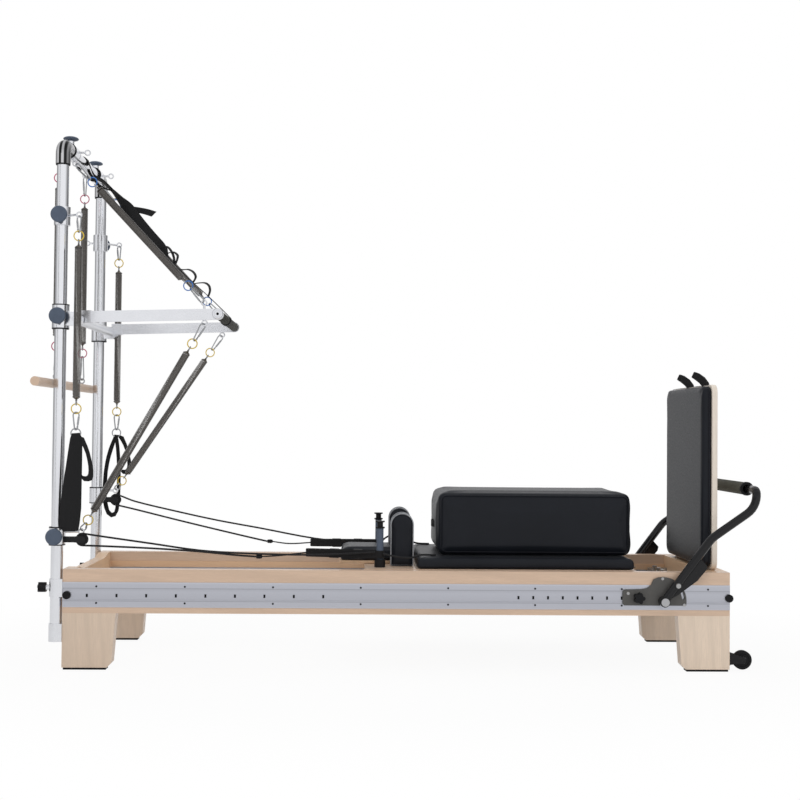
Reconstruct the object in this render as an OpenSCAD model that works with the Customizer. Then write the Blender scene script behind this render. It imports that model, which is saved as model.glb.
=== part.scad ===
// Half-tower pilates reformer: a sliding carriage on a timber bed, with a
// spring tower at the head end and a footbar and jump board at the foot end.
// X runs from the head end to the foot end, Y across the bed and Z up.
// Stations are measured along X from the outer face of the bed's head end.

/* [Bed] */
// Length of the bed over its ends
bed_l = 2360; // [2300:10:2440]
// Width of the bed over its side rails
bed_w = 660; // [650:2:680]
// Height of the rails' top edge above the floor
bed_h = 352; // [346:1:360]
// Height of a side rail
rail_h = 154; // [148:1:158]
// Thickness of a side rail
rail_t = 40; // [36:1:44]
// Thickness of the head board
head_board_t = 40; // [30:1:50]
// Depth of the shallow hollow in the head board's top edge
head_dip = 14; // [6:1:20]
// Length of the block that closes the foot end
foot_block_l = 83; // [76:1:90]
// Length of a leg where it meets the rail
leg_top_l = 186; // [170:1:200]
// Length of a leg at its foot
leg_foot_l = 173; // [150:1:180]
// Thickness of a leg
leg_t = 50; // [44:1:56]
// Chamfer at a leg's inner foot corner
leg_chamfer = 16; // [8:1:24]
// Thickness of a leg's rubber pad
pad_t = 8; // [5:1:12]

/* [Side profiles and tracks] */
// Height of the aluminium profile on a rail's outer face
profile_h = 88; // [80:1:92]
// Height of the profile's lower edge above the floor
profile_z = 219; // [215:1:222]
// Depth of the groove that holds the profile
profile_seat = 8; // [6:1:10]
// How far the profile stands out of the rail
profile_proud = 2; // [1:0.5:3]
// Height of the shallow band along the profile's middle
band_h = 34; // [26:1:38]
// Depth of that band
band_depth = 1.2; // [0.8:0.1:1.6]
// Diameter of an adjusting hole
hole_d = 7; // [5:0.5:8]
// Number of adjusting holes towards the head end
head_holes = 9; // [5:1:9]
// Station of the first hole at the head end
head_hole_s = 85; // [70:1:110]
// Pitch of the holes at the head end
head_hole_pitch = 103.5; // [90:0.5:110]
// Number of adjusting holes towards the foot end
foot_holes = 8; // [5:1:8]
// Station of the first hole at the foot end
foot_hole_s = 1604; // [1560:1:1620]
// Pitch of the holes at the foot end
foot_hole_pitch = 52.6; // [48:0.2:54]
// Number of screw columns on a profile
screw_columns = 8; // [6:1:8]
// Station of the first screw column
screw_s = 118; // [110:1:130]
// From the last screw column to the bed's foot end
screw_end = 79; // [70:1:90]
// Diameter of a screw's head
screw_d = 7; // [5:0.5:9]
// Distance of a screw row from the profile's edge
screw_inset = 15; // [12:1:17]
// Depth of the ledge that the carriage rolls on
track_ledge = 38; // [34:1:44]
// Wall of the track section
track_t = 4; // [3:0.5:5]

/* [Tower] */
// Distance of the uprights in front of the bed's head end
tower_gap = 25; // [25:0.5:28]
// Outside diameter of the tower's tubes
tube_d = 42; // [40:0.5:43]
// Wall of the tower's tubes
tube_wall = 3; // [2:0.5:4]
// Distance of an upright's axis from the mid-plane
upright_y = 316; // [312:1:320]
// Height of the uprights' lower ends above the floor
upright_foot = 98; // [80:1:110]
// Height of the crossbar's axis above the floor
crossbar_z = 1848; // [1780:1:1920]
// Outside diameter of the corner elbows
elbow_d = 52; // [50:0.5:54]
// Bend radius of the corner elbows
elbow_r = 32; // [30:1:38]
// Length of an elbow's straight socket
elbow_socket = 34; // [26:1:44]
// Height of a clamp that holds an upright to the bed
clamp_h = 63; // [50:1:66]
// Height of the upper clamp's middle above the floor
clamp_z = 286; // [270:1:290]
// Diameter of a clamp's ring
clamp_d = 49; // [47:0.5:49.5]
// Diameter of a star knob
star_d = 36; // [30:1:40]
// Length of a star knob's head
star_l = 27; // [20:1:32]

/* [Collars] */
// Outside diameter of the plain collars
collar_d = 57; // [54:0.5:60]
// Height of the plain collars
collar_h = 65; // [56:1:72]
// Outside diameter of the collars that carry the push bar
push_collar_d = 60; // [57:0.5:63]
// Height of the collars that carry the push bar
push_collar_h = 88; // [80:1:96]
// Height of the hand springs' collars above the floor
upper_collar_z = 1595.5; // [1500:0.5:1650]
// Height of the pulley collar on the near upright
lower_collar_near = 466.5; // [455:0.5:475]
// Height of the pulley collar on the far upright
lower_collar_far = 576.5; // [570:0.5:590]
// Distance of the crossbar's collars from the mid-plane
top_collar_y = 206; // [200:1:212]
// Thickness of a collar's black end ring
bush_t = 4; // [3:0.5:5]
// Diameter of a collar's round knob
knob_d = 58; // [50:1:60]
// Thickness of that knob
knob_t = 15; // [12:1:18]
// Diameter of the mushroom knobs on the crossbar
mushroom_d = 56; // [48:1:58]
// How far a locking knob pulls out
knob_pull = 8; // [5:1:9]
// Outside diameter of an eyebolt's ring
eye_d = 23; // [21:0.5:25]
// Thickness of an eyebolt's wire
eye_wire = 5; // [4:0.5:5.5]

/* [Push bar] */
// Distance of the push bar's pivot ahead of the uprights
pivot_reach = 53; // [50:1:56]
// Height of the push bar's pivot above the floor
pivot_z = 1232; // [1180:1:1270]
// Diameter of the boss that holds the pivot
boss_d = 48; // [44:1:50]
// Diameter of the pivot's stub
stub_d = 20; // [16:1:24]
// Diameter of the tube between the two bosses
cross_tube_d = 34; // [30:1:36]
// Distance of an arm from the mid-plane
arm_y = 276; // [272:1:278]
// Length of an arm from the pivot to the grip's axis
arm_l = 497; // [440:1:540]
// Height of an arm's section
arm_h = 40; // [36:1:42]
// Thickness of an arm
arm_t = 12; // [10:1:14]
// Rise of the arms towards the grip, in degrees
arm_rise = 1.8; // [1:0.2:3]
// Diameter of the foam grip
grip_d = 34; // [31:0.5:36]
// Diameter of the steel core of the push bar's grip
grip_core_d = 25; // [22:0.5:27]
// Diameter of the round caps at the grip's ends
grip_cap_d = 39; // [37:0.5:42]

/* [Springs] */
// Outside diameter of the tower's springs
spring_d = 27; // [25:0.5:28]
// Diameter of the spring wire
wire_d = 4.4; // [3.6:0.2:4.8]
// Number of curls in each spring
curls = 7; // [5:1:8]
// Clearance between a spring's wire and its core
core_gap = 0.3; // [0.2:0.1:0.6]
// Outside diameter of a coloured ring
ring_d = 38; // [36:0.5:40]
// Thickness of a coloured ring
ring_wire = 4; // [3:0.5:4.5]
// Thickness of a snap hook's wire
snap_wire = 4.5; // [3.5:0.5:5]
// Width of a snap hook between the middles of its sides
snap_w = 13; // [12:0.5:15]
// Distance of the hand springs from the mid-plane
hand_y = 354; // [354:0.5:358]
// Station of the hand springs
hand_s = 43; // [42:0.5:48]
// Height of a hand spring's lower ring above the floor
hand_ring_z = 914; // [880:1:940]
// Height of the roll-down bar above the floor
dowel_z = 1005; // [960:1:1040]
// Diameter of the roll-down bar
dowel_d = 32; // [28:1:36]
// Length of the roll-down bar
dowel_l = 980; // [900:5:1040]
// Distance of the roll-down bar's springs in front of the uprights
roll_reach = 41; // [41:0.5:44]

/* [Carriage] */
// Station of the carriage's head end
carriage_s = 1058; // [1040:1:1080]
// Station of the carriage's foot end
carriage_end = 2034; // [2000:1:2045]
// Thickness of the carriage's deck
deck_t = 22; // [18:1:24]
// Station where the cushion starts
cushion_s = 1244; // [1242:1:1256]
// Thickness of the cushion
cushion_t = 41; // [34:1:46]
// Gap between the carriage and each rail
side_gap = 6; // [3:1:9]
// Diameter of a carriage roller
roller_d = 40; // [36:1:44]
// Width of a carriage roller
roller_w = 18; // [14:1:20]
// Diameter of a roller axle
axle_d = 10; // [8:1:12]
// Distance of an axle from the carriage's end
axle_inset = 74; // [60:1:90]
// Distance of a rope post from the mid-plane
post_y = 222; // [218:1:230]
// Station of the rope posts
post_s = 1113; // [1096:1:1118]
// Height of a rope post above the deck
post_h = 167; // [150:1:180]
// Diameter of a post's sleeve
post_d = 25; // [22:0.5:26]
// Diameter of a post's base
post_base_d = 40; // [36:1:44]
// Station of the headrest's head end
headrest_s = 965; // [945:1:980]
// Width of the headrest
headrest_w = 236; // [220:1:240]
// Thickness of the headrest's cushion
headrest_t = 50; // [40:1:56]
// Thickness of the headrest's board
headrest_board_t = 12; // [9:1:15]
// Station of the shoulder rests
rest_s = 1151; // [1148:1:1152]
// Length of a shoulder rest along the bed
rest_l = 86; // [78:1:88]
// Height of a shoulder rest above the deck
rest_h = 194; // [170:1:210]
// Distance of a shoulder rest's inner face from the mid-plane
rest_y = 125; // [124:1:128]
// Width of a shoulder rest across the bed
rest_w = 74; // [66:1:76]
// Number of carriage springs
carriage_springs_count = 5; // [3:1:5]
// Pitch of the carriage springs
carriage_spring_pitch = 62; // [48:1:70]

/* [Sitting box] */
// Station of the sitting box's head end
box_s = 1321; // [1300:1:1340]
// Length of the sitting box
box_l = 718; // [680:1:724]
// Width of the sitting box
box_w = 400; // [360:1:420]
// Height of the sitting box
box_h = 236; // [210:1:260]
// Radius of the sitting box's corners
box_r = 30; // [20:1:40]

/* [Jump board] */
// Width of the jump board
board_w = 544; // [500:2:560]
// Height of the jump board's top above the floor
board_top = 1026; // [950:1:1060]
// Thickness of the jump board's cushion
board_pad_t = 35; // [28:1:40]
// Thickness of the jump board's timber panel
board_panel_t = 20; // [16:1:24]
// Radius of the jump board's corners
board_r = 32; // [20:1:45]
// Depth of the pegs that hold the board in the foot block
peg_h = 45; // [30:1:60]

/* [Footbar] */
// Distance of the footbar's pivot from the bed's foot end
bar_pivot_back = 242; // [238:1:246]
// Height of the footbar's pivot above the floor
bar_pivot_z = 251; // [248:1:254]
// Diameter of the footbar's tube
bar_d = 30; // [27:0.5:31]
// Distance of the footbar's side tubes from the mid-plane
bar_y = 356; // [355:0.5:358]
// Diameter of the footbar's grip
bar_grip_d = 46; // [40:1:50]
// Length of the footbar's grip
bar_grip_l = 510; // [460:5:520]
// Thickness of the grey quadrant bracket
quadrant_t = 5; // [4:0.5:5.5]
// Diameter of the footbar's pivot pin
bar_pin_d = 16; // [12:1:18]

/* [Wheels] */
// Diameter of a transport wheel
wheel_d = 68; // [60:1:70]
// Width of a transport wheel
wheel_w = 22; // [18:1:26]
// Height of a transport wheel's axle above the floor
wheel_z = 38; // [37:0.5:42]
// Distance of that axle behind the bed's foot end
wheel_reach = 53; // [48:1:58]
// Distance of a transport wheel from the mid-plane
wheel_y = 300; // [296:1:304]
// Diameter of a transport wheel's axle
wheel_axle_d = 10; // [8:1:12]

/* [Ropes] */
// Diameter of the ropes
rope_d = 7; // [6:0.5:8]
// Diameter of a pulley
pulley_d = 40; // [38:1:42]
// Width of a pulley
pulley_w = 11; // [9.5:0.5:12]
// Height of the near pulley above the floor
pulley_near_z = 455; // [452:1:458]
// Height of the far pulley above the floor
pulley_far_z = 558; // [555:1:562]

/* [Fits] */
// Gap between two pieces that lie against each other but can part
seat_gap = 0.3; // [0.2:0.05:0.5]
// Radial clearance of a turning or sliding shaft
run_gap = 0.05; // [0.02:0.01:0.1]

/* [Hidden] */
$fn = 48;

// The bed's head end lies this far behind the middle of the whole machine
head_x = -1195;
half_w = bed_w / 2;
inner_w = half_w - rail_t;
rail_z = bed_h - rail_h;
foot_inner = bed_l - foot_block_l;
screw_pitch = (bed_l - screw_s - screw_end) / (screw_columns - 1);
profile_top = profile_z + profile_h;
profile_face = half_w + profile_proud;
hole_z = profile_z + profile_h / 2 - 2;
bumper_d = 28;
bumper_t = 6;
bumper_over = 3;

deck_z = bed_h + 1;
deck_bottom = deck_z - deck_t;
pad_z = deck_z + cushion_t;
deck_w = inner_w - side_gap;
axle_z = deck_bottom - 28;
track_z = axle_z - roller_d / 2 - seat_gap / 2;
roller_y = inner_w - track_t - roller_w / 2 - 10;
hanger_y = roller_y - roller_w / 2 - 14;
hanger_t = 16;

tower_s = -tower_gap;
tube_core_d = tube_d - 2 * tube_wall;
elbow_end = crossbar_z - elbow_r - elbow_socket;
clamp_low_z = upright_foot + clamp_h / 2;
saddle_w = 40;
star_shaft_d = 10;
star_s = tower_s - clamp_d / 2 - 10.5;

pivot_s = tower_s + pivot_reach;
boss_w = 40;
stub_end = upright_y + boss_w / 2;
boss_inner = upright_y - boss_w / 2;
grip_half = arm_y - arm_t / 2;
pin_d = 10;

eye_r = (eye_d - eye_wire) / 2;
ring_r = (ring_d - ring_wire) / 2;
hook_r = 7;
cup_h = 7;
neck_h = 9;
link_gap = 0.4;
core_d = spring_d - 2 * wire_d - 2 * core_gap;
curl_rings = 8;
wire_sides = 6;

roll_s = tower_s - roll_reach;
roll_eye_z = dowel_z + dowel_d / 2 + eye_d / 2 - 0.5;
top_eye_s = tower_s + 61;
blue_eye = [tower_s + 17, crossbar_z - 40];
lower_z = [lower_collar_near, lower_collar_far];
pulley_z = [pulley_near_z, pulley_far_z];
pulley_s = [65, 52];
pulley_y = upright_y + 6;
lower_eye_s = 54;
lower_eye_y = upright_y - 22;
lower_eye_z = [lower_collar_near + 14, lower_collar_far + 20];
arm_eye_l = 448;
arm_eye_rise = arm_h / 2 + eye_d / 2 + 10;

rest_pin_d = 14;
rest_pin_l = 60;
box_z = pad_z + seat_gap;
board_bottom = bed_h + seat_gap;
board_s = foot_inner;
peg_w = 60;
peg_t = 12;
peg_y = 150;

bar_pivot_s = bed_l - bar_pivot_back;
bracket_face = profile_face + quadrant_t;
footbar_star_s = bar_pivot_s - 87;
footbar_star_z = bar_pivot_z + 11;
wheel_s = bed_l + wheel_reach;

function unit(v) = v / norm(v);
function middle(ring) = [for (a = [0:2]) [for (p = ring) p[a]] * [for (p = ring) 1 / len(ring)]];

// Direction of a path at one of its points
function along(points, i) =
    unit(points[min(i + 1, len(points) - 1)] - points[max(i - 1, 0)]);

// A ring of points round a path's point, in the plane across it
function ring_at(p, t, side, r, sides) =
    let (u = unit(side - (side * t) * t), v = cross(t, u))
    [for (k = [0:sides - 1]) p + r * (cos(360 * k / sides) * u + sin(360 * k / sides) * v)];

// Closed skin over a list of rings that all have the same number of points
module loft(rings) {
    n = len(rings[0]);
    last = len(rings) - 1;
    points = concat([for (ring = rings) each ring], [middle(rings[0]), middle(rings[last])]);
    start = n * len(rings);
    faces = concat(
        [for (i = [0:last - 1], k = [0:n - 1]) [i * n + k, (i + 1) * n + k, (i + 1) * n + (k + 1) % n]],
        [for (i = [0:last - 1], k = [0:n - 1]) [i * n + k, (i + 1) * n + (k + 1) % n, i * n + (k + 1) % n]],
        [for (k = [0:n - 1]) [start, k, (k + 1) % n]],
        [for (k = [0:n - 1]) [start + 1, last * n + (k + 1) % n, last * n + k]]
    );
    polyhedron(points = points, faces = faces);
}

// Round cord along a list of points; side is any direction off its run
module cord(points, d, side = [0, 1, 0], sides = 8) {
    loft([for (i = [0:len(points) - 1]) ring_at(points[i], along(points, i), side, d / 2, sides)]);
}

// Middle line of a coil that stands along Z, with a straight run at both ends
function coil_points(r, length, wire, turns) =
    let (run = length - 2 * wire, steps = curl_rings * turns)
    concat(
        [[r, 0, 0]],
        [for (i = [0:steps]) [r * cos(360 * i / curl_rings), r * sin(360 * i / curl_rings), wire + run * i / steps]],
        [[r * cos(360 * turns), r * sin(360 * turns), length]]
    );

// Direction from a coil's axis to one of its points
function coil_sides(turns) =
    concat([0], [for (i = [0:curl_rings * turns]) 360 * i / curl_rings], [360 * turns]);

// Clear space between one curl and the next
function coil_gap(points, wire) =
    min([for (i = [0:len(points) - 1 - curl_rings], j = [i + curl_rings - 2:min(i + curl_rings + 2, len(points) - 1)])
        norm(points[i] - points[j])]) - wire;

module coil(length) {
    r = (spring_d - wire_d) / 2;
    points = coil_points(r, length, wire_d, curls);
    angles = coil_sides(curls);
    loft([for (i = [0:len(points) - 1])
        let (t = i == 0 || i == len(points) - 1 ? [0, 0, 1] : along(points, i))
        ring_at(points[i], t, [cos(angles[i]), sin(angles[i]), 0], wire_d / 2, wire_sides)]);
}

// Outline of a rounded rectangle round the origin, anticlockwise
function round_outline(l, w, r, steps = 4) =
    [for (q = [0:3], i = [0:steps])
        let (a = 90 * q + 90 * i / steps, sx = q == 0 || q == 3 ? 1 : -1, sy = q < 2 ? 1 : -1)
        [sx * (l / 2 - r) + r * cos(a), sy * (w / 2 - r) + r * sin(a)]];

// Cushion on its back: rings at a height and an inset, flat below and crowned above
module cushion(l, w, h, corner, edge, waist, crown) {
    levels = [
        [0, edge * 0.7], [edge * 0.3, edge * 0.2], [edge, 0], [h * 0.5, waist],
        [h - edge - crown, 0], [h - edge * 0.3 - crown, edge * 0.25], [h - crown, edge],
        [h - crown * 0.35, w * 0.16], [h, w * 0.34]
    ];
    loft([for (level = levels)
        [for (p = round_outline(l - 2 * level[1], w - 2 * level[1], max(corner - level[1], 3)))
            [p[0], p[1], level[0]]]]);
}

module from_head() {
    translate([head_x, 0, 0]) children();
}

// Side 0 is the near one, at negative Y, and side 1 mirrors it
module on_side(side) {
    mirror([0, side, 0]) children();
}

module both_sides() {
    on_side(0) children();
    on_side(1) children();
}

// Block given by its low and high corners
module block(low, high) {
    translate(low) cube(high - low);
}

// Round bar from one point to another
module rod(a, b, d) {
    v = b - a;
    translate(a)
        rotate([0, acos(v[2] / norm(v)), atan2(v[1], v[0])])
            cylinder(h = norm(v), d = d);
}

// Round bar along Y round a point, from one distance to another
module cross_rod(s, z, low, high, d) {
    translate([s, low, z]) rotate([-90, 0, 0]) cylinder(h = high - low, d = d);
}

// Ring that lies in the plane across Z
module torus(r, wire) {
    rotate_extrude() translate([r, 0]) circle(d = wire, $fn = 24);
}

// Ring that stands in the plane of X and Z
module standing_ring(r, wire) {
    rotate([90, 0, 0]) torus(r, wire);
}

// Long link along Z between the middles of its two bends, in the plane of X and Z
module snap_hook(low, high) {
    w = snap_w / 2;
    for (z = [low + w, high - w])
        translate([0, 0, z])
            rotate([90, z > (low + high) / 2 ? 0 : 180, 0])
                rotate_extrude(angle = 180) translate([w, 0]) circle(d = snap_wire, $fn = 24);
    for (x = [-w, w])
        translate([x, 0, low + w]) cylinder(h = high - low - 2 * w, d = snap_wire, $fn = 24);
}

// Flat plate in the plane of X and Z, from one distance along Y to another
module plate(outline, low, high) {
    translate([0, high, 0]) rotate([90, 0, 0]) linear_extrude(high - low) polygon(outline);
}

// Outline of a band of even thickness along a path of points
function band_outline(path, t) =
    let (n = len(path) - 1, sides = [for (i = [0:n])
        let (d = path[min(i + 1, n)] - path[max(i - 1, 0)]) unit([-d[1], d[0]]) * t / 2])
    concat([for (i = [0:n]) path[i] + sides[i]], [for (i = [n:-1:0]) path[i] - sides[i]]);

// Webbing along a path of stations and heights
module webbing(path, t, low, high) {
    plate(band_outline(path, t), low, high);
}

// Closed path moved sideways by a distance, to its right for a positive one
function moved_loop(path, d) = let (n = len(path))
    [for (i = [0:n - 1]) let (v = path[(i + 1) % n] - path[(i + n - 1) % n]) path[i] + d * unit([v[1], -v[0]])];

// Webbing sewn into a loop along a closed path that runs anticlockwise
module web_loop(path, t, low, high) {
    difference() {
        plate(moved_loop(path, t / 2), low, high);
        plate(moved_loop(path, -t / 2), low - 1, high + 1);
    }
}

// Points on an arc round a centre
function arc(c, r, from, to, steps) =
    [for (i = [0:steps]) let (a = from + (to - from) * i / steps) c + r * [cos(a), sin(a)]];

// Bed
module side_rails() {
    color("burlywood") from_head() both_sides()
        difference() {
            block([0, -half_w, rail_z], [bed_l, -inner_w, bed_h]);
            block([-1, -half_w - 1, profile_z], [bed_l + 1, profile_seat - half_w, profile_top]);
        }
}

// Head board with its shallow hollow, and the block at the foot end with its peg slots
module end_boards() {
    color("tan") from_head() {
        difference() {
            block([0, -inner_w, rail_z], [head_board_t, inner_w, bed_h]);
            translate([-1, 0, 0]) rotate([90, 0, 90]) linear_extrude(head_board_t + 2)
                polygon([[-inner_w + 40, bed_h + 1], [-inner_w + 40, bed_h], [-inner_w + 110, bed_h - head_dip],
                    [inner_w - 110, bed_h - head_dip], [inner_w - 40, bed_h], [inner_w - 40, bed_h + 1]]);
        }
        difference() {
            block([foot_inner, -inner_w, rail_z], [bed_l, inner_w, bed_h]);
            for (y = [-peg_y, peg_y]) peg(y, seat_gap, 1);
        }
    }
}

// Peg that holds the jump board, or with an allowance the slot for it
module peg(y, gap, over) {
    s = board_s + board_pad_t + board_panel_t / 2;
    block([s - peg_t / 2 - gap, y - peg_w / 2 - gap, board_bottom - peg_h - gap],
        [s + peg_t / 2 + gap, y + peg_w / 2 + gap, board_bottom + over]);
}

module legs() {
    slope = leg_top_l - leg_foot_l;
    outline = [[0, pad_t], [leg_foot_l - leg_chamfer, pad_t], [leg_foot_l, pad_t + leg_chamfer],
        [leg_top_l, rail_z], [0, rail_z]];
    color("burlywood") from_head() both_sides() {
        plate(outline, -half_w, leg_t - half_w);
        translate([bed_l, 0, 0]) mirror([1, 0, 0]) plate(outline, -half_w, leg_t - half_w);
    }
}

// Pads under the legs and round bumpers at the profiles' ends
module rubber_feet() {
    inset = 4;
    pad_l = leg_foot_l - leg_chamfer - inset;
    color("black") from_head() both_sides() {
        for (s = [inset, bed_l - pad_l])
            block([s, inset - half_w, 0], [s + pad_l - inset, leg_t - half_w - inset, pad_t]);
        for (s = [bumper_d / 2 + 1, bed_l - bumper_over])
            cross_rod(s, hole_z, -profile_face - bumper_t, band_depth - profile_face, bumper_d);
    }
}

// Section of an outer profile, in Y and Z from the near rail's groove
module profile_section() {
    band_z = profile_z + (profile_h - band_h) / 2;
    polygon([[-profile_face, profile_z], [profile_seat - half_w, profile_z], [profile_seat - half_w, profile_top],
        [-profile_face, profile_top], [-profile_face, band_z + band_h],
        [band_depth - profile_face, band_z + band_h], [band_depth - profile_face, band_z], [-profile_face, band_z]]);
}

// Section of the inner track, with the ledge under the rollers
module track_section() {
    polygon([[-inner_w, track_z - 18], [-inner_w, axle_z + 12], [track_t - inner_w, axle_z + 12],
        [track_t - inner_w, track_z], [track_ledge - inner_w, track_z], [track_ledge - inner_w, track_z - track_t],
        [track_t - inner_w, track_z - track_t], [track_t - inner_w, track_z - 18]]);
}

module side_profiles() {
    color("silver") from_head() both_sides() {
        difference() {
            rotate([90, 0, 90]) linear_extrude(bed_l) profile_section();
            for (i = [0:head_holes - 1])
                cross_rod(head_hole_s + i * head_hole_pitch, hole_z, -half_w - 5, -half_w + profile_seat + 1, hole_d);
            for (i = [0:foot_holes - 1])
                cross_rod(foot_hole_s + i * foot_hole_pitch, hole_z, -half_w - 5, -half_w + profile_seat + 1, hole_d);
        }
        translate([head_board_t, 0, 0]) rotate([90, 0, 90])
            linear_extrude(foot_inner - head_board_t) track_section();
    }
}

module bed_screws() {
    head_t = 1.2;
    color("gainsboro") from_head() both_sides()
        for (i = [0:screw_columns - 1], z = [profile_z + screw_inset, profile_top - screw_inset])
            cross_rod(screw_s + i * screw_pitch, z, -profile_face - head_t, -profile_face, screw_d);
}

// Bar inside the foot end that the carriage springs hook on
spring_bar_s = foot_inner - 78;
spring_bar_z = deck_bottom - 44;
spring_bar_t = 14;
module spring_bar() {
    color("silver") from_head() {
        block([spring_bar_s, -inner_w + track_ledge + 4, spring_bar_z - 18],
            [spring_bar_s + spring_bar_t, inner_w - track_ledge - 4, spring_bar_z + 18]);
        both_sides() {
            block([spring_bar_s + spring_bar_t, -inner_w + track_ledge + 4, spring_bar_z - 18],
                [foot_inner, -inner_w + track_ledge + 12, spring_bar_z + 18]);
        }
        for (i = [0:carriage_springs_count - 1])
            translate([spring_bar_s, spring_row_y(i), spring_bar_z + 18]) {
                cylinder(h = 16, d = 10);
                translate([0, 0, 16]) cylinder(h = 5, d = 18);
            }
    }
}
function spring_row_y(i) = (i - (carriage_springs_count - 1) / 2) * carriage_spring_pitch;

// Tower
module tower_clamps() {
    color("silver") from_head() both_sides()
        for (z = [clamp_low_z, clamp_z])
            translate([tower_s, -upright_y, z])
                difference() {
                    union() {
                        translate([0, 0, -clamp_h / 2]) cylinder(h = clamp_h, d = clamp_d);
                        block([0, -saddle_w / 2, -clamp_h / 2], [tower_gap, saddle_w / 2, clamp_h / 2]);
                        if (z == clamp_z) rotate([0, -90, 0]) cylinder(h = tower_s - star_s, d = 20);
                    }
                    translate([0, 0, -clamp_h]) cylinder(h = 2 * clamp_h, d = tube_d + 2 * run_gap);
                    if (z == clamp_z) rotate([0, -90, 0]) cylinder(h = 2 * clamp_d, d = star_shaft_d + 2 * run_gap);
                }
}

// Uprights and crossbar, all open inside
module tower_tubes() {
    color("gainsboro") from_head() {
        both_sides() translate([tower_s, -upright_y, 0])
            difference() {
                translate([0, 0, upright_foot]) cylinder(h = crossbar_z - elbow_r - upright_foot, d = tube_d);
                translate([0, 0, upright_foot - 1]) cylinder(h = crossbar_z, d = tube_core_d);
            }
        difference() {
            cross_rod(tower_s, crossbar_z, elbow_r - upright_y, upright_y - elbow_r, tube_d);
            cross_rod(tower_s, crossbar_z, -upright_y, upright_y, tube_core_d);
        }
    }
}

module elbows() {
    color("lightgray") from_head() both_sides()
        translate([tower_s, -upright_y, crossbar_z])
            difference() {
                union() {
                    translate([0, 0, -elbow_r - elbow_socket]) cylinder(h = elbow_socket, d = elbow_d);
                    translate([0, elbow_r, 0]) rotate([-90, 0, 0]) cylinder(h = elbow_socket, d = elbow_d);
                    translate([0, elbow_r, -elbow_r]) rotate([90, 0, -90])
                        rotate_extrude(angle = 90) translate([elbow_r, 0]) circle(d = elbow_d);
                }
                translate([0, 0, -elbow_r - elbow_socket - 1])
                    cylinder(h = elbow_socket + 1, d = tube_d + 2 * run_gap);
                translate([0, elbow_r, 0]) rotate([-90, 0, 0])
                    cylinder(h = elbow_socket + 1, d = tube_d + 2 * run_gap);
            }
}

// Collars on the tubes. A collar lies along Z with its knob's boss towards -Y.
knob_reach = knob_pull + 4;
knob_boss_d = 24;
bolt_d = 8;
function knob_base(d) = d / 2 + knob_reach;

module collar(d, h) {
    difference() {
        union() {
            translate([0, 0, bush_t - h / 2]) cylinder(h = h - 2 * bush_t, d = d);
            rotate([90, 0, 0]) cylinder(h = knob_base(d), d = knob_boss_d);
        }
        translate([0, 0, -h]) cylinder(h = 2 * h, d = tube_d + 2 * run_gap);
        rotate([90, 0, 0]) cylinder(h = 2 * d, d = pin_d + 2 * run_gap);
    }
}

module end_rings(d, h) {
    for (z = [-h / 2, h / 2 - bush_t])
        translate([0, 0, z]) difference() {
            cylinder(h = bush_t, d = d);
            translate([0, 0, -1]) cylinder(h = bush_t + 2, d = tube_d + 2 * run_gap);
        }
}

// Pull knob of a collar, with its pin down to the tube; the head is turned from an outline
module pull_knob(d, head_outline) {
    rotate([90, 0, 0]) {
        translate([0, 0, tube_d / 2 + seat_gap]) cylinder(h = knob_base(d) - tube_d / 2, d = pin_d);
        translate([0, 0, knob_base(d) + seat_gap]) rotate_extrude($fn = 64) polygon(head_outline);
    }
}

function disc_outline() = let (r = knob_d / 2)
    [[0, 0], [r - 5, 0], [r - 1, 2], [r, 5], [r, knob_t - 4], [r - 2, knob_t - 1], [r - 6, knob_t], [0, knob_t]];

function mushroom_outline() = let (r = mushroom_d / 2)
    concat([[0, 0], [11, 0], [12, 3], [r - 3, 5], [r, 8]],
        [for (a = [15:15:75]) [r * cos(a), 8 + 9.5 * sin(a)]], [[0, 17.5]]);

// Eyebolt from a collar's or an arm's surface to its standing ring
module eyebolt(base, ring) {
    reach = unit([ring[0] - base[0], 0, ring[2] - base[2]]);
    rod(base, ring - eye_r * reach, bolt_d);
    translate(ring) standing_ring(eye_r, eye_wire);
}

// Place on a standing collar's wall on the way to a ring
function collar_wall(ring, z, d) =
    let (way = unit([ring[0] - tower_s, ring[1] + upright_y, 0]))
    [tower_s, -upright_y, z] + (d / 2 - 3) * way;

// Place on a crossbar collar's wall on the way to a ring
function crossbar_wall(ring) =
    let (way = unit([ring[0] - tower_s, 0, ring[2] - crossbar_z]))
    [tower_s, -top_collar_y, crossbar_z] + (collar_d / 2 - 3) * way;

function top_eye() = [top_eye_s, -top_collar_y, crossbar_z];
function roll_eye() = [roll_s, -top_collar_y, crossbar_z];
function top_spring_eye() = [blue_eye[0], -top_collar_y, blue_eye[1]];
function hand_eye() = [hand_s, -hand_y, upper_collar_z];
function lower_eye(side) = [lower_eye_s, -lower_eye_y, lower_eye_z[side]];

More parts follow.
